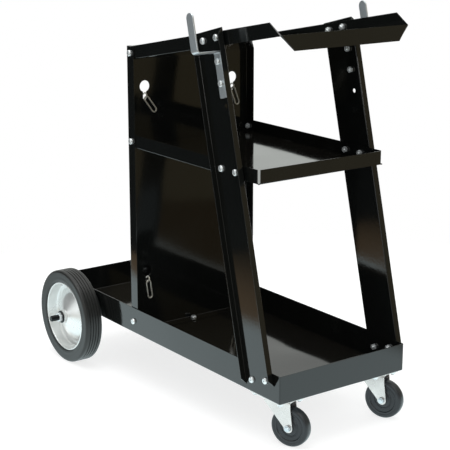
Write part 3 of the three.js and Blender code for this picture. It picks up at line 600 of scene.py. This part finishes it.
# %% [markdown]
# The top shelf carries the power source and slopes down to the panel, so that its dials face the
# welder. It is one blank as well: the side lips are turned up, the front lip is turned down, and
# their ends are cut at 45 degrees so that nothing sharp stands out at the corners. The front fold
# goes the other way, so the thickness of the front lip grows forward, and the fold line lies one
# sheet short of the shelf's length.

# %% The top shelf
TOP_SLOPE = math.radians(10.8)
TOP_LENGTH = 487.4
TOP_SIDE_LIP = 26
TOP_FRONT_LIP = 26.5
TOP_FRONT_FOLD = TOP_LENGTH - SHEET
TOP_SHELF_TO_CART = Matrix.Translation((300, 0, 564.9)) @ Matrix.Rotation(-TOP_SLOPE, 4, "Y")


def top_side_fold(middle):
    return near(abs(middle.y), INNER_HALF) and near(middle.z, 0)


def top_front_fold(middle):
    return near(middle.x, TOP_FRONT_FOLD) and near(middle.z, 0) and near(middle.y, 0)


top_shelf = flat_blank((0, TOP_FRONT_FOLD), (-INNER_HALF, INNER_HALF), 0)
edit(top_shelf)
bpy.ops.mesh.flip_normals()
pick(top_shelf, "EDGE", top_side_fold)
pull_out(0, 0, TOP_SIDE_LIP)
pick(top_shelf, "VERT", lambda corner: near(corner.z, TOP_SIDE_LIP) and near(corner.x, TOP_FRONT_FOLD))
bpy.ops.transform.translate(value=(-TOP_SIDE_LIP, 0, 0))
pick(top_shelf, "EDGE", top_front_fold)
pull_out(0, 0, -TOP_FRONT_LIP)
bpy.ops.transform.resize(
    value=(1, 1 - TOP_FRONT_LIP / INNER_HALF, 1), center_override=(TOP_FRONT_FOLD, 0, -TOP_FRONT_LIP),
)
pick(top_shelf, "EDGE", lambda middle: top_side_fold(middle) or top_front_fold(middle))
round_folds()
leave_edit()
thicken(top_shelf)
put(top_shelf, TOP_SHELF_TO_CART)
set_down(top_shelf, "enamelled_top_shelf", "black_enamel", "frame", "top_shelf")

# %% [markdown]
# Each cable hook is a 3 mm zinc strap with two bends: flat on the upright, out over its flange, and
# up to a round tip. The surface is the strap's inner side, so Solidify thickens it outward.

# %% The cable hooks
HOOK_WIDTH = 20
HOOK_THICKNESS = 3
HOOK_REACH = 53
HOOK_BOTTOM = 523
HOOK_BEND = 607
HOOK_TIP = 678
HOOK_BEND_RADIUS = 5
HOOK_EDGE = 0.8
hook_near = SHEET + GAP
hook_far = HOOK_REACH - HOOK_THICKNESS
hook = standing_blank(
    (HOOK_LINE - HOOK_WIDTH / 2, HOOK_LINE + HOOK_WIDTH / 2), hook_near, (HOOK_BOTTOM, HOOK_BEND),
)
edit(hook)
pick(hook, "EDGE", lambda middle: near(middle.z, HOOK_BEND))
pull_out(0, hook_far - hook_near, 0)
pull_out(0, 0, HOOK_TIP - HOOK_BEND)
pick(hook, "VERT", lambda corner: near(corner.z, HOOK_TIP))
bpy.ops.mesh.bevel(offset=HOOK_WIDTH / 2 - 0.2, segments=8, affect="VERTICES")
pick(hook, "EDGE", lambda middle: near(middle.z, HOOK_BEND) and near(middle.x, HOOK_LINE))
round_folds(HOOK_BEND_RADIUS, 6)
leave_edit()
thicken(hook, HOOK_THICKNESS, HOOK_EDGE)
put(hook, UPRIGHT_TO_CART)
set_down(mirrored(hook), "zinc_right_hook", "zinc", "frame", "right_cable_hook")
set_down(hook, "zinc_left_hook", "zinc", "frame", "left_cable_hook")

# %% [markdown]
# What is round is turned: an outline of radius and height is drawn with extruded vertices and spun
# about the y axis. A screw thread is drawn as plain ridges here. At this size nobody can tell them
# from a helix.

# %% Helpers for turned pieces
def turned(outline, steps=96):
    piece = drawn(outline)
    bpy.ops.mesh.spin(steps=steps, angle=2 * math.pi, center=(0, 0, 0), axis=(0, 1, 0))
    bpy.ops.mesh.select_all(action="SELECT")
    bpy.ops.mesh.remove_doubles(threshold=0.001)
    face_outward()
    return piece


def thread(low, high, radius, depth, pitch):
    ridges = round((high - low) / pitch)
    turns = []
    for ridge in range(ridges):
        turns.append((radius - depth, low + ridge * pitch))
        turns.append((radius, low + (ridge + 0.5) * pitch))
    return turns + [(radius - depth, high)]


ALONG_Z = Matrix.Rotation(math.pi / 2, 4, "X")

# %% [markdown]
# Thirty-five quarter-inch screws hold the sheets together. One pan head with a cross recess and one
# hex nut with the end of its thread are modelled, and each screw is a copy of the two, joined across
# the sheets it clamps. Where the shelves stand clear of the uprights, a collar fills the space.

# %% Screws, nuts and collars
HEAD_RADIUS = 6.2
HEAD_HEIGHT = 4.4
HEAD_DOME = 2.8
RECESS_HALF = 2.4
RECESS_WIDTH = 1.1
RECESS_DEPTH = 1.6
NUT_HEIGHT = 5
NUT_CORNER = 6.2
THREAD_END = 2.5
SCREW_RADIUS = 3.2
COLLAR_RADIUS = 6

head_master = along_y(HEAD_RADIUS, 0, HEAD_HEIGHT)
edit(head_master)
pick(head_master, "EDGE", lambda middle: near(middle.y, HEAD_HEIGHT))
round_folds(HEAD_DOME, 5)
leave_edit()
recess = (HEAD_HEIGHT - RECESS_DEPTH, HEAD_HEIGHT + 1)
slit = (-RECESS_WIDTH / 2, RECESS_WIDTH / 2)
cut_away(head_master, block((-RECESS_HALF, RECESS_HALF), recess, slit))
cut_away(head_master, block(slit, recess, (-RECESS_HALF, RECESS_HALF)))

nut_master = along_y(NUT_CORNER, -NUT_HEIGHT, 0, sides=6)
break_edges(nut_master, 0.5)
thread_low = -NUT_HEIGHT - THREAD_END
screw_end = turned(
    [(0, thread_low)] + thread(thread_low, -1, SCREW_RADIUS, 0.5, 1.27) + [(0, -1)], steps=24,
)
nut_master = joined(nut_master, screw_end)


def screw(head_at, nut_at, name, *nodes, collar=None):
    pieces = [put(copy_of(head_master), head_at), put(copy_of(nut_master), nut_at)]
    if collar:
        pieces.append(collar)
    return set_down(joined(*pieces), name, "zinc", "frame", *nodes, finish="screw_zinc")


def side_screw(place, outer, inner, name, collar=False):
    for side, sign in (("right", -1), ("left", 1)):
        turn = Matrix.Identity(4) if sign > 0 else Matrix.Rotation(math.pi, 4, "Z")
        sleeve = None
        if collar:
            ends = sorted((sign * (INNER_HALF + GAP), sign * (UPRIGHT_INNER - GAP)))
            sleeve = along_y(COLLAR_RADIUS, *ends, x=place[0], z=place[1])
            break_edges(sleeve)
        screw(
            Matrix.Translation((place[0], sign * (outer + GAP), place[1])) @ turn,
            Matrix.Translation((place[0], sign * (inner - GAP), place[1])) @ turn,
            f"screw_{side}_{name}", f"{side}_{name}", collar=sleeve,
        )


def on_upright(across_web, up):
    place = UPRIGHT_TO_CART @ Vector((across_web, 0, up))
    return place.x, place.z


def on_upright_at(across_web, z):
    low, high = on_upright(across_web, 0), on_upright(across_web, 1)
    return on_upright(across_web, (z - low[1]) / (high[1] - low[1]))


SHELF_SCREW_Z = 403
PANEL_SCREW_X = PANEL_X + 12
inside_sheet = INNER_HALF - SHEET
for line, across_web in (("rear", 21), ("front", 62.5)):
    side_screw(on_upright(across_web, 10), UPRIGHT_OUTER, TRAY_HALF - SHEET, f"foot_bolt_{line}")
    side_screw(on_upright_at(across_web, SHELF_SCREW_Z), UPRIGHT_OUTER, inside_sheet, f"shelf_bolt_{line}", True)
    side_screw(on_upright(across_web, 631), UPRIGHT_OUTER, inside_sheet, f"top_shelf_bolt_{line}", True)
for height, up in (("lower", 549), ("upper", 589)):
    hook_outer = UPRIGHT_OUTER + GAP + HOOK_THICKNESS
    side_screw(on_upright(HOOK_LINE, up), hook_outer, UPRIGHT_INNER, f"hook_bolt_{height}")
side_screw((PANEL_SCREW_X, 25), TRAY_HALF, PANEL_HALF - SHEET, "panel_tray_bolt")
side_screw((PANEL_SCREW_X, SHELF_SCREW_Z), PANEL_HALF, inside_sheet, "panel_shelf_bolt")
side_screw((PANEL_SCREW_X, 579), PANEL_HALF, inside_sheet, "panel_top_shelf_bolt")
screw(
    Matrix.Translation((PANEL_SCREW_X, 0, 2 * (SHEET + GAP))) @ ALONG_Z,
    Matrix.Translation((PANEL_SCREW_X, 0, -GAP)) @ ALONG_Z,
    "screw_panel_floor", "panel_floor_bolt",
)

# %% [markdown]
# The rear wheels carry solid rubber tyres moulded with five ribs, pressed on to zinc rims. The rim is
# spun from sheet: a rolled lip, a wall that drops into a recess, a narrow ring, and a dome that rises
# to the hub. On the axle's end sit a dark washer, a lock nut and a stretch of thread.

# %% The rear wheels
AXLE_IN_CART = Matrix.Translation((AXLE_X, 0, AXLE_Z))
TYRE_RADIUS = 101.6
TYRE_LOW = 155.5
TYRE_HIGH = 195.5
SHOULDER = 5
RIB_COUNT = 5
GROOVE_WIDTH = 1.8
GROOVE_DEPTH = 1.6
BEAD_RADIUS = 75.8


def tyre_outline():
    tread_low = TYRE_LOW + SHOULDER
    rib = (TYRE_HIGH - TYRE_LOW - 2 * SHOULDER - (RIB_COUNT - 1) * GROOVE_WIDTH) / RIB_COUNT
    tread = []
    for groove in range(RIB_COUNT - 1):
        start = tread_low + (groove + 1) * rib + groove * GROOVE_WIDTH
        tread += [
            (TYRE_RADIUS, start),
            (TYRE_RADIUS - GROOVE_DEPTH, start + 0.3),
            (TYRE_RADIUS - GROOVE_DEPTH, start + GROOVE_WIDTH - 0.3),
            (TYRE_RADIUS, start + GROOVE_WIDTH),
        ]
    corner = TYRE_RADIUS - SHOULDER
    side = [(BEAD_RADIUS, 2.6), (BEAD_RADIUS + 3, 0.9), (84, 0.5), (86, 0.9), (89, 0.4)]
    return (
        [(radius, TYRE_LOW + inset) for radius, inset in side]
        + rounded(corner, tread_low, SHOULDER, -90, 0)
        + tread
        + rounded(corner, TYRE_HIGH - SHOULDER, SHOULDER, 0, 90)
        + [(radius, TYRE_HIGH - inset) for radius, inset in reversed(side)]
    )


def rim_outline():
    lip = rounded(73.9, 191.6, 1.6, 0, 180, 8)
    return (
        [(75.5, 158)] + lip
        + [(70.4, 174.5)] + rounded(66.4, 174.5, 4, -15, -75, 4)
        + [(63, 169.2), (59.5, 169.1), (57.6, 170), (55.8, 171.6), (53, 174), (49, 176.7), (44, 179.5)]
        + [(38, 182.2), (32, 184.5), (25, 187), (19, 189.2), (16, 190.3), (14.4, 191.4), (14, 192.6)]
        + [(14, 198.4), (13.4, 199), (10, 199), (10, 158), (14, 158), (14, 186), (31.2, 182.5), (42.8, 177.8)]
        + [(51.4, 172.6), (57.2, 167.5), (66, 167.5), (68.6, 169), (72.4, 181), (73.5, 158)]
    )


def on_both_sides(piece, name, slot, body, node, finish=None):
    put(piece, AXLE_IN_CART)
    for side, twin in (("right", mirrored(piece)), ("left", piece)):
        rides_on = body.format(side=side)
        set_down(twin, f"{side}_{name}", slot, rides_on, f"{side}_{node}", finish=finish)


on_both_sides(turned(tyre_outline()), "ribbed_tyre", "tyre_rubber", "{side}_rear_wheel", "tyre")
on_both_sides(turned(rim_outline()), "pressed_rim", "bright_zinc", "{side}_rear_wheel", "rim", "rim_zinc")

washer = turned([(6.65, 199.3), (13.1, 199.3), (13.5, 199.7), (13.5, 200.9), (13.1, 201.3), (6.65, 201.3)], 48)
on_both_sides(washer, "dark_washer", "black_steel", "frame", "axle_washer")
axle_nut = along_y(10.5, 201.6, 208.1, sides=6)
break_edges(axle_nut, 0.8)
cut_away(axle_nut, along_y(6.65, 200, 210, sides=48))
on_both_sides(axle_nut, "lock_nut", "zinc", "frame", "axle_nut", "screw_zinc")

AXLE_RADIUS = 6.35
axle_end = [(AXLE_RADIUS, 199)] + thread(203, 225, AXLE_RADIUS, 0.55, 1.57) + [(5.2, 226), (0, 226)]
axle_outline = [(radius, -height) for radius, height in reversed(axle_end)] + axle_end
axle = put(turned(axle_outline, 48), AXLE_IN_CART)
set_down(axle, "threaded_axle", "black_steel", "frame", "rear_axle")

# %% [markdown]
# The casters are bright plated stampings. A plate is bolted under the tray, a ball race carries the
# fork, and the fork is a strip folded down on both sides whose legs trail to the axle. The wheel is
# hard rubber with two moulded rings on each face. Both casters point the same way, as they were left
# when the cart was last pushed.

# %% The casters
CASTER_X = 740
CASTER_Y = 115
CASTER_HEADING = math.radians(23)
CASTER_TRAIL = 29.5
CASTER_DROP = 59.1
CASTER_WHEEL = 38.1
CASTER_HALF_WIDTH = 10
FORK_TOP = -9.3
FORK_HALF = 13.2
FORK_PLATE = 2
FORK_REAR = -20
FORK_FRONT = 33
FORK_CROWN = 5
FORK_BOSS = 9
FORK_BEND = 3
KINGPIN = 5
PLATE_BOLTS = [(x, y) for x in (-36.5, 36.5) for y in (-22.5, 22.5)]

plate = block((-46, 46), (-32, 32), (-2.8, -GAP))
edit(plate)
pick(plate, "EDGE", lambda middle: near(abs(middle.x), 46) and near(abs(middle.y), 32))
round_folds(7, 5)
leave_edit()
break_edges(plate)

race = turned(
    [(0, -3.1), (19.5, -3.1), (20, -3.6)] + rounded(17.5, -5.8, 2.5, 0, -70)
    + [(17, -9), (KINGPIN, -9), (KINGPIN, -11.6), (9, -11.6), (9, -12.6), (7.6, -13.8), (4, -14.6), (0, -14.6)], 48,
)
put(race, ALONG_Z)

fork = flat_blank((FORK_REAR, FORK_FRONT), (-FORK_HALF, FORK_HALF), FORK_TOP)
edit(fork)
pick(fork, "EDGE", lambda middle: near(abs(middle.y), FORK_HALF))
pull_out(0, 0, -FORK_CROWN)
pull_out(0, 0, FORK_CROWN - CASTER_DROP - FORK_TOP)
for corner_x, tip_x in ((FORK_REAR, CASTER_TRAIL - FORK_BOSS), (FORK_FRONT, CASTER_TRAIL + FORK_BOSS)):
    pick(fork, "VERT", lambda corner: near(corner.z, -CASTER_DROP) and near(corner.x, corner_x))
    bpy.ops.transform.translate(value=(tip_x - corner_x, 0, 0))
pick(fork, "EDGE", lambda middle: near(middle.z, -CASTER_DROP))
pull_out(0, 0, -FORK_BOSS)
pick(fork, "VERT", lambda corner: near(corner.z, -CASTER_DROP - FORK_BOSS))
bpy.ops.mesh.bevel(offset=FORK_BOSS - 0.2, segments=8, affect="VERTICES")
pick(fork, "EDGE", lambda middle: near(middle.z, FORK_TOP) and near(abs(middle.y), FORK_HALF))
round_folds(FORK_BEND, 5)
leave_edit()
apply_modifier(fork, "SOLIDIFY", thickness=FORK_PLATE, offset=-1, use_even_offset=True)
cut_away(fork, put(along_y(KINGPIN + GAP, -CASTER_DROP, 0), ALONG_Z))
break_edges(fork)

wheel_half = [
    (38.1, 0), (38.0, 4), (37.4, 7), (36.2, 9), (34, 10), (31, 10), (30, 9.3), (29, 9.3), (28, 10), (26.5, 9.9),
    (25, 8.2), (19, 8), (18.2, 8.8), (17.2, 8.8), (16.4, 8), (15, 8.2), (13, 9.8), (12, 10), (8.3, 10),
]
caster_wheel = turned([(radius, -height) for radius, height in reversed(wheel_half[1:])] + wheel_half, 72)
pin_head = along_y(6.5, 13.5, 17.5, sides=6)
break_edges(pin_head, 0.6)
pin_half = [(4, 18.2), (3.4, 18.8), (0, 19)]
pin_shaft = turned([(radius, -height) for radius, height in reversed(pin_half)] + pin_half, 24)
caster_pin = joined(pin_shaft, pin_head, mirrored(pin_head))
for piece in (caster_wheel, caster_pin):
    put(piece, Matrix.Translation((CASTER_TRAIL, 0, -CASTER_DROP)))

for side, sign in (("right", -1), ("left", 1)):
    mounted = Matrix.Translation((CASTER_X, sign * CASTER_Y, 0))
    headed = mounted @ Matrix.Rotation(CASTER_HEADING, 4, "Z")
    for piece, place, name, slot, body, node in (
        (plate, mounted, "bolted_plate", "bright_zinc", "frame", "caster_plate"),
        (race, mounted, "ball_race", "bright_zinc", "frame", "caster_swivel_race"),
        (fork, headed, "folded_fork", "bright_zinc", f"{side}_caster_swivel", "caster_fork"),
        (caster_pin, headed, "fork_pin", "zinc", f"{side}_caster_swivel", "caster_axle"),
        (caster_wheel, headed, "ringed_wheel", "caster_rubber", f"{side}_caster_roller", "caster_wheel"),
    ):
        set_down(put(copy_of(piece), place), f"{side}_{name}", slot, body, f"{side}_{node}")
    for number, (x, y) in enumerate(PLATE_BOLTS):
        at = mounted @ Matrix.Translation((x, y, 0))
        screw(
            at @ Matrix.Translation((0, 0, SHEET)) @ ALONG_Z,
            at @ Matrix.Translation((0, 0, -2.8)) @ ALONG_Z,
            f"{side}_caster_screw_{number + 1}",
        )
    for number, x in enumerate((-18, 18)):
        at = Matrix.Translation((AXLE_X + x, sign * 115, 0))
        screw(
            at @ Matrix.Translation((0, 0, SHEET)) @ ALONG_Z,
            at @ Matrix.Translation((0, 0, -3.3)) @ ALONG_Z,
            f"{side}_bracket_screw_{number + 1}",
        )
for piece in (plate, race, fork, caster_wheel, caster_pin, head_master, nut_master):
    bpy.data.objects.remove(piece)

# %% [markdown]
# The safety chains are long-link chain of 3 mm wire. A link is a torus pulled out at both ends. The
# upper chain hangs behind the panel as a catenary, and the lower one lies on the floor of the bay.
# Each end passes through a slot and a last link hangs in front of the panel, so that it can't slip
# back.

# %% The chains
WIRE = 3
LINK_PITCH = 36
LINK_WIDTH = 10
SLACK_LINKS = 11
SLOT_DIP = math.radians(30)
CATENARY = 51.6
Y_AXIS = Vector((0, 1, 0))
Z_AXIS = Vector((0, 0, 1))

link_master = add(
    bpy.ops.mesh.primitive_torus_add, major_segments=22, minor_segments=10,
    major_radius=LINK_WIDTH / 2, minor_radius=WIRE / 2,
)
edit(link_master)
for end in (-1, 1):
    pick(link_master, "VERT", lambda corner: corner.x * end > 0)
    bpy.ops.transform.translate(value=(end * (LINK_PITCH + WIRE - LINK_WIDTH) / 2, 0, 0))
leave_edit()


def link(start, end, wide):
    along = (end - start).normalized()
    across_link = (wide - along * wide.dot(along)).normalized()
    turn = Matrix((along, across_link, along.cross(across_link))).transposed().to_4x4()
    return put(copy_of(link_master), Matrix.Translation((start + end) / 2) @ turn)


def end_links(keyhole_z, sign, hang):
    outer = Vector((PANEL_X + SHEET + 5, sign * KEYHOLE_Y, keyhole_z - KEYHOLE_DROP + 11.6))
    inward = Vector((-math.cos(SLOT_DIP), 0, -math.sin(SLOT_DIP)))
    down = Vector((0, math.sin(math.radians(hang)), -math.cos(math.radians(hang))))
    inner = outer + inward * LINK_PITCH
    top = outer + inward * 3.5 - Z_AXIS * 3.5 + down * 1.5
    return inner, [link(outer, inner, Z_AXIS), link(top, top + down * LINK_PITCH, Y_AXIS)]


def slack_links(points, lean):
    links = []
    for number, (start, end) in enumerate(zip(points, points[1:])):
        along = (end - start).normalized()
        flat = Vector((1, 0, 0)) - along * along.x
        quarter = 90 if number % 2 == 0 else 0
        links.append(link(start, end, Matrix.Rotation(math.radians(quarter + lean(number)), 3, along) @ flat))
    return links


def evenly(points, count):
    lengths = [0]
    for last, point in zip(points, points[1:]):
        lengths.append(lengths[-1] + (point - last).length)
    places = []
    for number in range(count + 1):
        wanted = lengths[-1] * number / count
        index = max(i for i in range(len(points) - 1) if lengths[i] <= wanted)
        share = (wanted - lengths[index]) / (lengths[index + 1] - lengths[index])
        places.append(points[index].lerp(points[index + 1], share))
    return places


def smooth_through(stops, steps=16):
    ends = [stops[0] * 2 - stops[1]] + stops + [stops[-1] * 2 - stops[-2]]
    points = []
    for a, b, c, d in zip(ends, ends[1:], ends[2:], ends[3:]):
        for step in range(steps):
            t = step / steps
            bend = (a * 2 - b * 5 + c * 4 - d) * t ** 2 + (b * 3 - a - c * 3 + d) * t ** 3
            points.append((b * 2 + (c - a) * t + bend) / 2)
    return points + [stops[-1]]


def chain(name, node, keyhole_z, hangs, route, lean):
    right, right_links = end_links(keyhole_z, -1, hangs[0])
    left, left_links = end_links(keyhole_z, 1, hangs[1])
    slack = slack_links(evenly(route(right, left), SLACK_LINKS), lean)
    set_down(joined(*right_links, *slack, *left_links), name, "chain_steel", "frame", node)


def hanging(right, left):
    heights = [right.lerp(left, step / 60) for step in range(61)]
    drop = math.cosh(right.y / CATENARY)
    return [point + Z_AXIS * CATENARY * (math.cosh(point.y / CATENARY) - drop) for point in heights]


def lying(right, left):
    behind = ((30, 105, 50), (37, 99, 20), (57, 86, 8.5), (83, 52, 8.2))
    half = [Vector((PANEL_X - back, y, z)) for back, y, z in behind]
    other = [point * Vector((1, -1, 1)) for point in half]
    return smooth_through([right] + other + [Vector((PANEL_X - 93, 0, 8.2))] + half[::-1] + [left])


def lying_lean(number):
    middle = (SLACK_LINKS - 1) / 2
    return 45 * min(1, (middle - abs(number - middle)) / 3)


chain("upper_chain_links", "upper_chain", UPPER_KEYHOLE_Z, (37, 21), hanging, lambda number: 0)
chain("lower_chain_links", "lower_chain", LOWER_KEYHOLE_Z, (8, 12), lying, lying_lean)
bpy.data.objects.remove(link_master)

# %% [markdown]
# A few plain CAD solids are good as they are: the axle brackets, the collars and the bushes. They
# keep their shape and only take a finish.

# %% Finishes for the solids that stay
for side in ("right", "left"):
    for node, slot in (
        ("axle_bracket", "black_enamel"), ("axle_collar", "zinc"), ("hub_bush", "nylon"), ("caster_bush", "nylon"),
    ):
        solid = frame["nodes"][f"{side}_{node}"]
        solid.data.materials.clear()
        solid.data.materials.append(FINISHES[slot])
        print(solid.name, "takes", FINISHES[slot].name)

# %% [markdown]
# The photograph was taken on a white sweep and the background was cleaned to pure white. A white disc
# lies under the cart and takes a faint shadow. Gloss enamel mirrors it in the low faces, and these
# mirror images show that the real sweep was narrow: they end in a soft edge on both sides of the
# cart, where a dim brown floor begins. So mirror rays see the disc fade out to both sides, which the
# camera doesn't.

# %% Floor
SWEEP_LEFT = (0.34, 0.5)
SWEEP_RIGHT = (0.55, 0.63)
BROWN_FLOOR = (0.62, 1.05)


def white_sweep():
    paper, tree, shader, place = new_material("white_paper")
    shader.inputs["Base Color"].default_value = linear("#a8a8a8")
    shader.inputs["Roughness"].default_value = 0.9
    shader.inputs["Emission Color"].default_value = (1, 1, 1, 1)
    shader.inputs["Emission Strength"].default_value = 0.75
    side = add_node(tree, "ShaderNodeSeparateXYZ", {"Vector": place}).outputs["Y"]

    def past(start, end):
        limits = {"Value": side, "From Min": start, "From Max": end}
        return add_node(tree, "ShaderNodeMapRange", limits, interpolation_type="SMOOTHSTEP").outputs["Result"]

    def blend(factor, first, second):
        mix = add_node(tree, "ShaderNodeMix", {0: factor, 6: first, 7: second}, data_type="RGBA")
        return mix.outputs[2]

    brown = blend(past(-BROWN_FLOOR[0], -BROWN_FLOOR[1]), (0.55, 0.38, 0.22, 1), (0.04, 0.035, 0.02, 1))
    right = blend(past(-SWEEP_RIGHT[0], -SWEEP_RIGHT[1]), (1.36, 1.6, 1.64, 1), brown)
    ground = blend(past(*SWEEP_LEFT), right, (0.16, 0.11, 0.05, 1))
    mirrored_floor = add_node(tree, "ShaderNodeEmission", {"Color": ground})
    path = add_node(tree, "ShaderNodeLightPath")
    both = add_node(tree, "ShaderNodeMixShader", {
        0: path.outputs["Is Glossy Ray"], 1: shader.outputs[0], 2: mirrored_floor.outputs[0],
    })
    tree.links.new(both.outputs[0], tree.nodes["Material Output"].inputs["Surface"])
    return paper


bpy.ops.object.select_all(action="DESELECT")
bpy.ops.mesh.primitive_circle_add(vertices=128, radius=1.3, fill_type="NGON", location=(0.05, 0, 0))
bpy.ops.object.transform_apply(location=True, rotation=True, scale=True)
floor = bpy.context.object
floor.name = "white_sweep"
floor.data.materials.append(white_sweep())
print("floor of", round(floor.dimensions.x, 2), "m")

# %% [markdown]
# The world is white to the camera. To glossy rays it is the room: a bright backdrop behind the cart,
# a bright ceiling, a dim warm wall ahead of the cart, which is why the upper front faces look olive,
# and a dark one on its right. Everything else is lit evenly.

# %% World
BACKWARD = (-0.81, 0.59, 0)
FORWARD_LEFT = (0.8, 0.6, 0)
SIDEWAYS = (-0.1, -0.995, 0)


def build_world():
    world = bpy.data.worlds.new("studio")
    world.use_nodes = True
    bpy.context.scene.world = world
    tree = world.node_tree
    tree.nodes.clear()

    def share(value, low, high):
        limits = {"Value": value, "From Min": low, "From Max": high}
        return add_node(tree, "ShaderNodeMapRange", limits).outputs["Result"]

    def blend(factor, first, second):
        mix = add_node(tree, "ShaderNodeMix", {0: factor, 6: first, 7: second}, data_type="RGBA")
        return mix.outputs[2]

    way = add_node(tree, "ShaderNodeTexCoord").outputs["Generated"]
    height = add_node(tree, "ShaderNodeSeparateXYZ", {"Vector": way}).outputs["Z"]
    back = add_node(tree, "ShaderNodeVectorMath", {0: way, 1: BACKWARD}, operation="DOT_PRODUCT")
    ahead = add_node(tree, "ShaderNodeVectorMath", {0: way, 1: FORWARD_LEFT}, operation="DOT_PRODUCT")
    walls = blend(share(ahead.outputs["Value"], -0.5, 0.3), (0.02, 0.022, 0.022, 1), (0.28, 0.23, 0.13, 1))
    low_backdrop = blend(share(height, -0.1, 0.1), (1.35, 1.35, 1.35, 1), (1.13, 1.18, 1.13, 1))
    backdrop = blend(share(height, 0.28, 0.4), low_backdrop, (0.7, 0.72, 0.7, 1))
    with_backdrop = blend(share(back.outputs["Value"], 0.6, 0.85), walls, backdrop)
    side = add_node(tree, "ShaderNodeVectorMath", {0: way, 1: SIDEWAYS}, operation="DOT_PRODUCT")
    with_softbox = blend(share(side.outputs["Value"], 0.84, 0.93), with_backdrop, (1.5, 1.56, 1.56, 1))
    room = blend(share(height, 0.5, 0.75), with_softbox, (1.4, 1.4, 1.36, 1))
    seen = add_node(tree, "ShaderNodeBackground", {"Color": room})
    fill = add_node(tree, "ShaderNodeBackground", {"Color": (0.97, 1, 1, 1), "Strength": 0.65})
    white = add_node(tree, "ShaderNodeBackground", {"Color": (1, 1, 1, 1)})
    path = add_node(tree, "ShaderNodeLightPath")
    lit = add_node(tree, "ShaderNodeMixShader", {
        0: path.outputs["Is Glossy Ray"], 1: fill.outputs[0], 2: seen.outputs[0],
    })
    all_rays = add_node(tree, "ShaderNodeMixShader", {
        0: path.outputs["Is Camera Ray"], 1: lit.outputs[0], 2: white.outputs[0],
    })
    add_node(tree, "ShaderNodeOutputWorld", {"Surface": all_rays.outputs[0]})


build_world()
bpy.context.scene.view_settings.view_transform = "Standard"

# %% [markdown]
# One large soft lamp hangs over the cart. It gives the tyres and the floor their shading from above. A smaller
# one stands ahead of the cart on its right, where no flat face mirrors it to the camera. It lights the cut edges of
# the hooks and the treads of the tyres, which are bright in the photograph too.

# %% Lamps
def soft_lamp(name, place, aim, size, watts):
    way = Vector(aim) - Vector(place)
    turn = way.to_track_quat("-Z", "Y").to_euler()
    bpy.ops.object.light_add(type="AREA", location=place, rotation=turn)
    lamp = bpy.context.object
    lamp.name = name
    lamp.data.shape = "DISK"
    lamp.data.size = size
    lamp.data.energy = watts
    print(name, "of", watts, "W")


soft_lamp("overhead_lamp", (0.2, -0.3, 2.6), (0.2, -0.3, 0), 2, 30)
soft_lamp("front_lamp", (2.2, -0.9, 1.4), (0.1, 0, 0.4), 0.8, 9)
